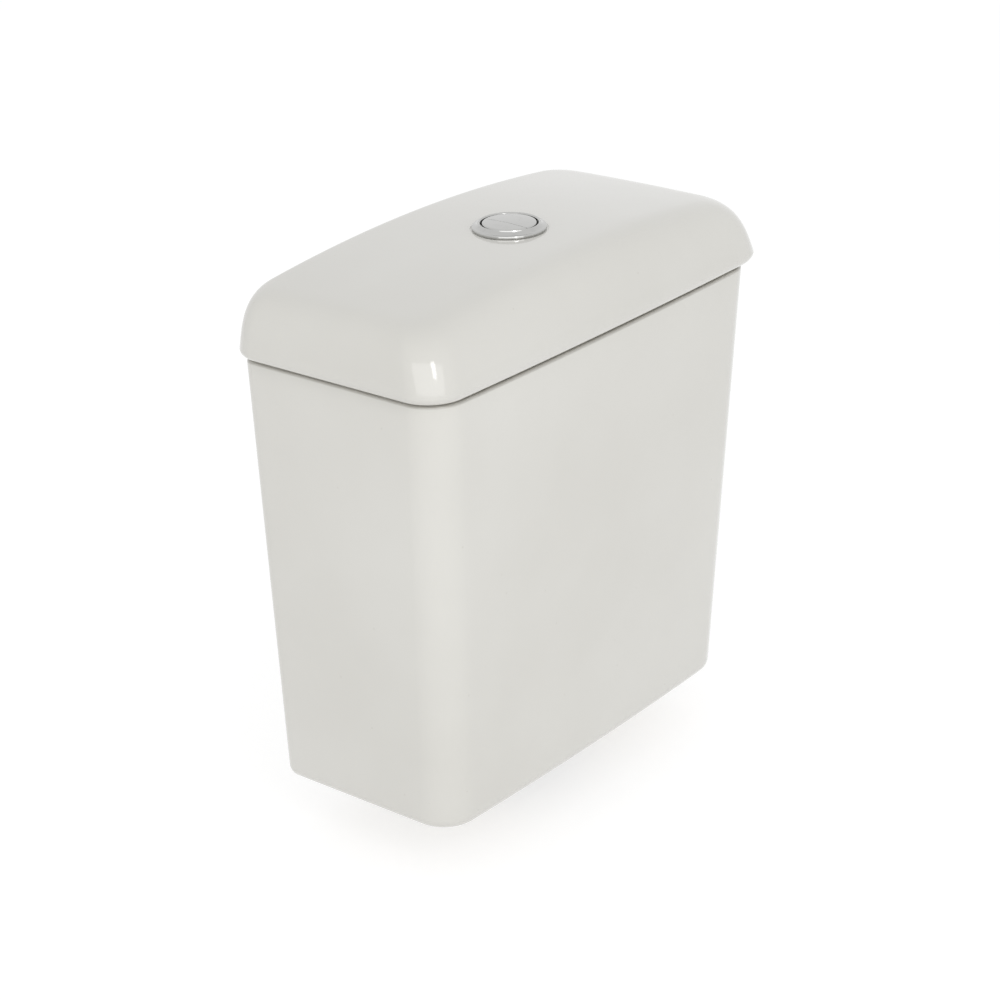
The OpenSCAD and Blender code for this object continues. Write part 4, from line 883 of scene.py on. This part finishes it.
valveSeal = Sizes(inner=14.05, outer=27.75, low=27, high=30, groove=22.6)
bm = bmesh.new()
turn(bm, [(valveSeal.inner, valveSeal.low, 0.3), (valveSeal.outer, valveSeal.low, 0.9),
          (valveSeal.outer, valveSeal.high, 0.5),
          *faceGroove(valveSeal.groove, 0.4, 0.4, valveSeal.high, 0.1),
          (valveSeal.inner, valveSeal.high, 0.3)])
piece("valveSeal", bm, "flush_valve", silicone, ["valve_seal"])

retainer = Sizes(inner=14.05, low=23, high=27, lowR=17.5, highR=19.5, notches=6, notchIn=17.2,
                 notchHalf=1.2)
bm = bmesh.new()
turn(bm, [(retainer.inner, retainer.low, 0.3), (retainer.lowR, retainer.low, 0.6),
          (retainer.highR, retainer.high, 0.3), (retainer.inner, retainer.high)])
cutter = bmesh.new()
fins(cutter, retainer.notches, (retainer.notchIn, -retainer.notchHalf, retainer.low - 1),
     (22, retainer.notchHalf, retainer.high - 1), 0.3)
piece("sealRetainer", bm, "flush_valve", white, ["seal_retainer"], cutter)

sleeve = Sizes(inner=32.3, outer=34.5, band=35.7, bandHigh=2.5, low=142.5, high=158.5, tabOut=40.3,
               tabHalf=5, tabHigh=3, grips=40, grip=0.6)
bm = bmesh.new()
bandLow = sleeve.high - sleeve.bandHigh
turn(bm, [(sleeve.inner, sleeve.low, 0.3), (sleeve.outer, sleeve.low, 0.5), (sleeve.outer, bandLow, 0.4),
          (sleeve.band, bandLow, 0.4), (sleeve.band, sleeve.high, 0.5), (sleeve.inner, sleeve.high, 0.3)],
     steps=128)
for side in (-1, 1):
    block(bm, (side * (sleeve.inner + 1), -sleeve.tabHalf, sleeve.low + 0.2),
          (side * sleeve.tabOut, sleeve.tabHalf, sleeve.low + sleeve.tabHigh), 0.7)
for x, y in around(sleeve.grips, sleeve.outer, shift=0.5):
    if abs(y) > 0.25 * sleeve.outer:  # none beside the tabs
        bar(bm, (x, y, sleeve.low + 1.5), sleeve.high - sleeve.low - 4.5, sleeve.grip, sides=10)
piece("halfFlushSleeve", bm, "half_sleeve", grey, ["half_flush_sleeve"])
print("flush valve built")


# everything on the fill valve is drawn round its own axis
fillAt = holes.fillAt
shank = Sizes(bore=6, inlet=10.48, inletCore=9.5, low=-43, step=-16, body=12, bodyCore=11.3, threadTop=11,
              flangeLow=15, flange=20, top=19, inletPitch=1.814, inletDeep=0.98, bodyPitch=1.5,
              bodyDeep=0.7)
bm = bmesh.new()
turn(bm, [(shank.bore, shank.low, 0.5), (shank.inletCore, shank.low, 0.6),
          (shank.inletCore, shank.step - 1.2, 0.2), (shank.inlet, shank.step - 0.8),
          (shank.inlet, shank.step), (shank.bodyCore, shank.step, 0.5),
          (shank.bodyCore, shank.threadTop - 0.5), (shank.body, shank.threadTop),
          (shank.body, shank.flangeLow, 0.3), (shank.flange, shank.flangeLow, 0.5),
          (shank.flange, shank.top, 0.5), (shank.bore, shank.top, 0.5)], fillAt)
thread(bm, fillAt, shank.inlet, shank.low + 0.8, shank.step - 1, shank.inletPitch, shank.inletDeep, 48)
thread(bm, fillAt, shank.body, shank.step + 0.6, shank.threadTop, shank.bodyPitch, shank.bodyDeep, 48)
piece("fillShank", bm, "tank", brass, ["fill_shank"])

fillWasher = Sizes(inner=12.05, outer=19, low=12, high=15, groove=15.5)
bm = bmesh.new()
turn(bm, [(fillWasher.inner, fillWasher.low, 0.3), (fillWasher.outer, fillWasher.low, 0.7),
          (fillWasher.outer, fillWasher.high, 0.7),
          *faceGroove(fillWasher.groove, 0.3, 0.3, fillWasher.high, 0.1),
          (fillWasher.inner, fillWasher.high, 0.3)], fillAt)
piece("fillWasher", bm, "tank", rubber, ["fill_washer"])

locknut = Sizes(bore=12.05, corner=20, low=-10, hexTop=-2, face=21, faceLow=-2.5)
bm = bmesh.new()
bar(bm, (*fillAt, locknut.low), locknut.hexTop - locknut.low, locknut.corner, ease=0.8, sides=6)
ring(bm, (locknut.bore + 1, locknut.face), locknut.faceLow, 0, (0.2, 0.5, 0.3, 0.2), fillAt)
cutter = bmesh.new()
bar(cutter, (*fillAt, locknut.low - 2), 16, locknut.bore, ease=0, sides=64)
piece("fillLocknut", bm, "tank", white, ["fill_locknut"], cutter)

strainer = Sizes(low=-42, rim=5.95, rimTop=-39, inner=4.4, neck=5.1, tip=2.6, tipIn=1.9, top=-25, roof=-26,
                 slits=8, slit=(-36.5, -27.5), slitHalf=0.45)
bm = bmesh.new()
turn(bm, [(strainer.inner, strainer.low, 0.2), (strainer.rim, strainer.low, 0.3),
          (strainer.rim, strainer.rimTop, 0.3), (strainer.neck, strainer.rimTop + 0.5, 0.2),
          (strainer.tip, strainer.top, 0.4), (0, strainer.top), (0, strainer.roof),
          (strainer.tipIn, strainer.roof, 0.2), (strainer.inner, strainer.rimTop, 0.3)], fillAt, 48)
cutter = bmesh.new()
fins(cutter, strainer.slits, (1.5, -strainer.slitHalf, strainer.slit[0]),
     (7, strainer.slitHalf, strainer.slit[1]), 0.2, fillAt)
piece("inletStrainer", bm, "tank", white, ["inlet_strainer"], cutter)

lowRiser = Sizes(inner=10.25, outer=13, low=19, top=96, foot=18, footTop=25, ribs=4, ribOut=15.5,
                 ribTop=79, ribHalf=1.2)
bm = bmesh.new()
turn(bm, [(lowRiser.inner, lowRiser.low, 0.3), (lowRiser.foot, lowRiser.low, 0.6),
          (lowRiser.foot, lowRiser.footTop, 0.8), (lowRiser.outer, lowRiser.footTop, 1),
          (lowRiser.outer, lowRiser.top, 0.4), (lowRiser.inner, lowRiser.top, 0.4)], fillAt)
fins(bm, lowRiser.ribs, (lowRiser.outer - 1, -lowRiser.ribHalf, lowRiser.footTop - 1),
     (lowRiser.ribOut, lowRiser.ribHalf, lowRiser.ribTop), 0.5, fillAt, 0.5)
piece("lowerRiser", bm, "tank", white, ["riser_lower"])

upRiser = Sizes(bore=6, outer=10, low=60, top=214, notches=(186, 190, 194, 198, 202))
bm = bmesh.new()
turn(bm, [(upRiser.bore, upRiser.low, 0.4), (upRiser.outer, upRiser.low, 0.5),
          *grooves(upRiser.notches, upRiser.outer, 0.6, 0.8, 0.3, (0.2, 0.2)),
          (upRiser.outer, upRiser.top), (upRiser.bore, upRiser.top)], fillAt)
piece("upperRiser", bm, "tank", white, ["riser_upper"])

twist = Sizes(inner=13.25, neck=10.25, outer=17.25, low=86, top=96, cap=102, grips=20, grip=0.7,
              gripLong=7.6)
bm = bmesh.new()
turn(bm, [(twist.inner, twist.low, 0.3), (twist.outer, twist.low, 0.6), (twist.outer, twist.top, 0.6),
          (twist.inner, twist.cap, 0.6), (twist.neck, twist.cap, 0.3), (twist.neck, twist.top, 0.2),
          (twist.inner, twist.top, 0.2)], fillAt)
for place in around(twist.grips, twist.outer, fillAt):
    bar(bm, (*place, twist.low + 1.2), twist.gripLong, twist.grip, sides=12)
piece("riserCollar", bm, "tank", blue, ["riser_collar"])

valveHead = Sizes(bore=4, neck=13, outer=19, low=214, cone=222, top=238, recess=17, recessLow=236, ribs=8,
                  ribLow=224, ribTop=235, ribOut=20.5, ribHalf=1.5)
bm = bmesh.new()
turn(bm, [(valveHead.bore, valveHead.low, 0.3), (valveHead.neck, valveHead.low, 0.6),
          (valveHead.outer, valveHead.cone, 1.2), (valveHead.outer, valveHead.top, 0.3),
          (valveHead.recess, valveHead.top, 0.2), (valveHead.recess, valveHead.recessLow, 0.2),
          (valveHead.bore, valveHead.recessLow, 0.4)], fillAt)
fins(bm, valveHead.ribs, (valveHead.outer - 1, -valveHead.ribHalf, valveHead.ribLow),
     (valveHead.ribOut, valveHead.ribHalf, valveHead.ribTop), 0.6, fillAt)
piece("fillHead", bm, "tank", white, ["fill_head"])

diaphragm = Sizes(inner=1, outer=16.95, low=236, high=238, lowGroove=7.6, groove=11.6)
bm = bmesh.new()
turn(bm, [(diaphragm.inner, diaphragm.low, 0.2),
          *faceGroove(diaphragm.lowGroove, -0.6, -0.5, diaphragm.low, 0.2),
          (diaphragm.outer, diaphragm.low, 0.4), (diaphragm.outer, diaphragm.high, 0.4),
          *faceGroove(diaphragm.groove, 0.9, 0.6, diaphragm.high, 0.3),
          (diaphragm.inner, diaphragm.high, 0.2)], fillAt)
piece("fillDiaphragm", bm, "tank", rubber, ["fill_diaphragm"])

cap = Sizes(outer=21, low=238, edge=247, top=250, topR=18, spigot=2.5, spigotTop=251.5, pilot=1, ribs=12,
            ribOut=21.8, ribHalf=1, earX=-12, earHalf=4, earIn=5, earOut=8, pivot=258, hole=1.55)
leverAt = (fillAt[0] + cap.earX, fillAt[1], cap.pivot)
bm = bmesh.new()
turn(bm, [(0, cap.low), (cap.outer, cap.low, 0.4), (cap.outer, cap.edge, 1), (cap.topR, cap.top, 1),
          (cap.spigot, cap.top, 0.5), (cap.spigot, cap.spigotTop, 0.4), (0, cap.spigotTop)], fillAt)
fins(bm, cap.ribs, (cap.outer - 1, -cap.ribHalf, cap.low), (cap.ribOut, cap.ribHalf, cap.edge), 0.5,
     fillAt)
ear = [(cap.earX - cap.earHalf, cap.edge - 1), (cap.earX + cap.earHalf, cap.edge - 1),
       *arc(cap.earX, cap.pivot, cap.earHalf, 0, 180, 15)]
for side in (-1, 1):
    slab(bm, ear, side * cap.earIn, side * cap.earOut, 0.4, (*fillAt, 0))
cutter = bmesh.new()
bar(cutter, (*fillAt, cap.low - 2), 18, cap.pilot, ease=0)
bar(cutter, (leverAt[0], leverAt[1] - 12, leverAt[2]), 24, cap.hole, "Y", 0)
piece("fillCap", bm, "tank", blue, ["fill_cap"], cutter)

leverPin = Sizes(radius=1.5, half=8.5, head=2.5, headLong=1.2, ease=0.25, headEase=0.3)
bm = bmesh.new()
crossPin(bm, leverPin, leverAt)
piece("leverPin", bm, "tank", steel, ["lever_pin"])

# the lever is drawn from its pivot; its tail presses the pilot and its fork holds the link
lever = Sizes(half=4.5, low=-2.1, high=2.9, far=-43, tail=16, tailHigh=0.4, hump=4.3, slopeEnd=-24,
              disc=7.5, discX=-37, fork=2.8, forkEnd=-30, pocket=(-25, -8), pocketLow=1.4, pocketHalf=2.6)
bm = bmesh.new()
slab(bm, [(lever.tail, lever.low), (lever.tail, lever.tailHigh), (0, lever.hump),
          (lever.slopeEnd, lever.high), (lever.far, lever.high), (lever.far, lever.low)],
     -lever.half, lever.half, 0.5, leverAt)
bar(bm, (leverAt[0] + lever.discX, leverAt[1], leverAt[2] + lever.low + 0.02),
    lever.high - lever.low - 0.04, lever.disc, ease=0.5, sides=48)
cutter = bmesh.new()
block(cutter, (lever.far - 12, -lever.fork, lever.low - 3), (lever.forkEnd, lever.fork, lever.high + 3),
      1.2, at=leverAt)
bar(cutter, (leverAt[0], leverAt[1] - 10, leverAt[2]), 20, cap.hole, "Y", 0)
block(cutter, (lever.pocket[0], -lever.pocketHalf, lever.pocketLow),
      (lever.pocket[1], lever.pocketHalf, 8), 1, at=leverAt)
piece("floatLever", bm, "fill_lever", white, ["float_lever"], cutter)

cup = Sizes(bore=10.6, inner=12.4, outer=29, skin=1.8, low=112, roof=179.6, top=182,
            rings=(122, 134, 146, 158), linkX=-48, armLow=168, armTop=174, armHalf=4, gusset=14,
            gussetHalf=1.5, hole=2.05)
linkAt = (fillAt[0] + cup.linkX, fillAt[1])
bm = bmesh.new()
turn(bm, bellProfile(cup, grooves(cup.rings, cup.outer, 0.5, 1, 0.5, (0.2, 0.2))), fillAt, 128)
root = 1.2 - cup.outer
block(bm, (cup.linkX - 5, -cup.armHalf, cup.armLow), (root, cup.armHalf, cup.armTop), 1, at=fillAt)
block(bm, (cup.linkX + 5, -cup.gussetHalf, cup.armLow - cup.gusset),
      (root, cup.gussetHalf, cup.armLow + 1), 0.5, at=fillAt)
cutter = bmesh.new()
bar(cutter, (*linkAt, cup.armLow - 2), 10, cup.hole, ease=0)
piece("fillFloat", bm, "fill_float", grey, ["fill_float"], cutter)

link = Sizes(radius=2, core=1.7, low=162, top=273, foot=4, footTop=168, ball=4, ballZ=251.5, threadLow=259,
             pitch=1.2, threadDeep=0.3, ballSteps=(-3.46, -3, -2.4, -1.6, -0.8, 0, 0.8, 1.6, 2.4, 3, 3.46))
ballLine = [(math.sqrt(link.ball ** 2 - dz * dz), link.ballZ + dz) for dz in link.ballSteps]
bm = bmesh.new()
turn(bm, [(0, link.low), (link.foot, link.low, 0.6), (link.foot, link.footTop, 0.5),
          (link.radius, link.footTop, 0.2), *ballLine, (link.radius, link.threadLow - 0.4),
          (link.core, link.threadLow), (link.core, link.top, 0.4), (0, link.top)], linkAt, 40)
thread(bm, linkAt, link.radius, link.threadLow, link.top - 0.4, link.pitch, link.threadDeep, 24)
piece("floatLink", bm, "fill_float", white, ["float_link"])

knob = Sizes(bore=2.05, radius=5, low=262.9, top=269.9, flutes=8, flute=1.3, fluteAt=5.5, fluteLow=264.9)
bm = bmesh.new()
ring(bm, (knob.bore, knob.radius), knob.low, knob.top, (0.2, 0.4, 0.6, 0.3), linkAt, 64)
cutter = bmesh.new()
for place in around(knob.flutes, knob.fluteAt, linkAt):
    bar(cutter, (*place, knob.fluteLow), 8, knob.flute, ease=0, sides=24)
piece("linkKnob", bm, "fill_float", blue, ["link_knob"], cutter)
print("fill valve built")


bolt = Sizes(radius=4, core=3.35, neck=3.6, low=-41, threadTop=2, headLow=21.6, headTop=26.9, head=7.5,
             collar=7.2, collarHigh=0.6, pitch=1.25, threadDeep=0.65)
cone = Sizes(bore=3.65, low=12, high=20, lowR=13, highR=9.5)
plate = Sizes(bore=4.05, outer=10, low=20, high=21.6)
bolts, cones, plates = bmesh.new(), bmesh.new(), bmesh.new()
for side in (-1, 1):
    at = (side * holes.boltX, 0)
    collarTop = bolt.headLow + bolt.collarHigh
    turn(bolts, [(0, bolt.low), (bolt.core, bolt.low, 0.5), (bolt.core, bolt.threadTop - 0.3),
                 (bolt.neck, bolt.threadTop), (bolt.neck, bolt.headLow), (bolt.collar, bolt.headLow, 0.2),
                 (bolt.collar, collarTop), (0, collarTop)], at, 40)
    bar(bolts, (*at, bolt.headLow + 0.3), bolt.headTop - bolt.headLow - 0.3, bolt.head, ease=0.6, sides=6)
    thread(bolts, at, bolt.radius, bolt.low + 0.4, bolt.threadTop, bolt.pitch, bolt.threadDeep, 32)
    turn(cones, [(cone.bore, cone.low, 0.3), (cone.lowR, cone.low, 0.7), (cone.lowR - 1.3, cone.low + 3),
                 (cone.lowR - 1.9, cone.low + 3.2), (cone.lowR - 1.7, cone.low + 3.8),
                 (cone.highR, cone.high, 0.6), (cone.bore, cone.high, 0.3)], at, 64)
    ring(plates, (plate.bore, plate.outer), plate.low, plate.high, (0.15, 0.3, 0.3, 0.2), at, 64)
piece("couplingBolts", bolts, "tank", brass, ["coupling_bolts"])
piece("coneWashers", cones, "tank", rubber, ["bolt_cone_washers"])
piece("plateWashers", plates, "tank", steel, ["bolt_steel_washers"])
print("coupling built")


# studio: pale floor, even sky and soft lamps; the camera, metal and glass see it white
def seenBright(wire):
    names = ("Is Camera Ray", "Is Glossy Ray", "Is Transmission Ray")
    direct, mirrored, through = [wire.add("LightPath", out=name) for name in names]
    return (direct + mirrored + through).sums("MINIMUM", 1.0)


world = bpy.data.worlds.new("studio")
world.use_nodes = True
world.node_tree.nodes.clear()
wire = Wire(world.node_tree)
shade = blend(wire, seenBright(wire), (0.71, 0.71, 0.71), (1, 1, 1))
wire.add("OutputWorld", {"Surface": wire.add("Background", {"Color": shade, "Strength": 1.0})})
scene.world = world

floorSizes = {"z": -0.0436, "reach": 6}  # in metres
mat, wire = blankMaterial("floorPaper")
paper = wire.add("BsdfDiffuse", {"Color": (0.88, 0.88, 0.88)})
bright = wire.add("AddShader",
                  {0: wire.add("BsdfDiffuse", {"Color": (0.45, 0.45, 0.45)}),
                   1: wire.add("Emission", {"Color": (1, 1, 1), "Strength": 0.68})})
sheet = wire.add("MixShader", {0: seenBright(wire), 1: paper, 2: bright})
under = wire.add("NewGeometry", out="Backfacing")  # clear from below, so the underside can be looked at
wire.add("OutputMaterial",
         {"Surface": wire.add("MixShader", {0: under, 1: sheet, 2: wire.add("BsdfTransparent")})})
bm = bmesh.new()
bmesh.ops.create_grid(bm, x_segments=8, y_segments=8, size=floorSizes["reach"])
moved(bm, (0, 0, floorSizes["z"]))
floor = bpy.data.objects.new("studioFloor", meshFrom(bm, "studioFloor"))
floor.data.materials.append(mat)
scene.collection.objects.link(floor)


def lamp(name, at, aim, size, power):
    data = bpy.data.lights.new(name, "AREA")
    data.shape = "RECTANGLE"
    data.size, data.size_y = size
    data.energy = power
    obj = bpy.data.objects.new(name, data)
    obj.location = at
    obj.rotation_euler = (Vector(aim) - Vector(at)).to_track_quat("-Z", "Y").to_euler()
    scene.collection.objects.link(obj)


lamp("keyLamp", (-2.34, -2.16, 1.4), (0, 0, 0.2), (5.2, 2.8), 43)
lamp("stripLamp", (-1.05, -1.77, 1.65), (0, 0, 0.3), (0.36, 0.9), 5)

# the camera of the photograph, worked out from its edges
camData = bpy.data.cameras.new("photoCamera")
camData.sensor_width = 36
camData.lens = 97.04
camera = bpy.data.objects.new("photoCamera", camData)
right = Vector((0.6207, -0.7837, -0.0248))
up = Vector((0.3283, 0.2310, 0.9159))
ahead = Vector((0.7121, 0.5766, -0.4006))
place = Matrix.Translation((-1.4113, -1.1305, 0.9726))
camera.matrix_world = place @ Matrix((right, up, -ahead)).transposed().to_4x4()
scene.collection.objects.link(camera)
scene.camera = camera

print("scene ready")
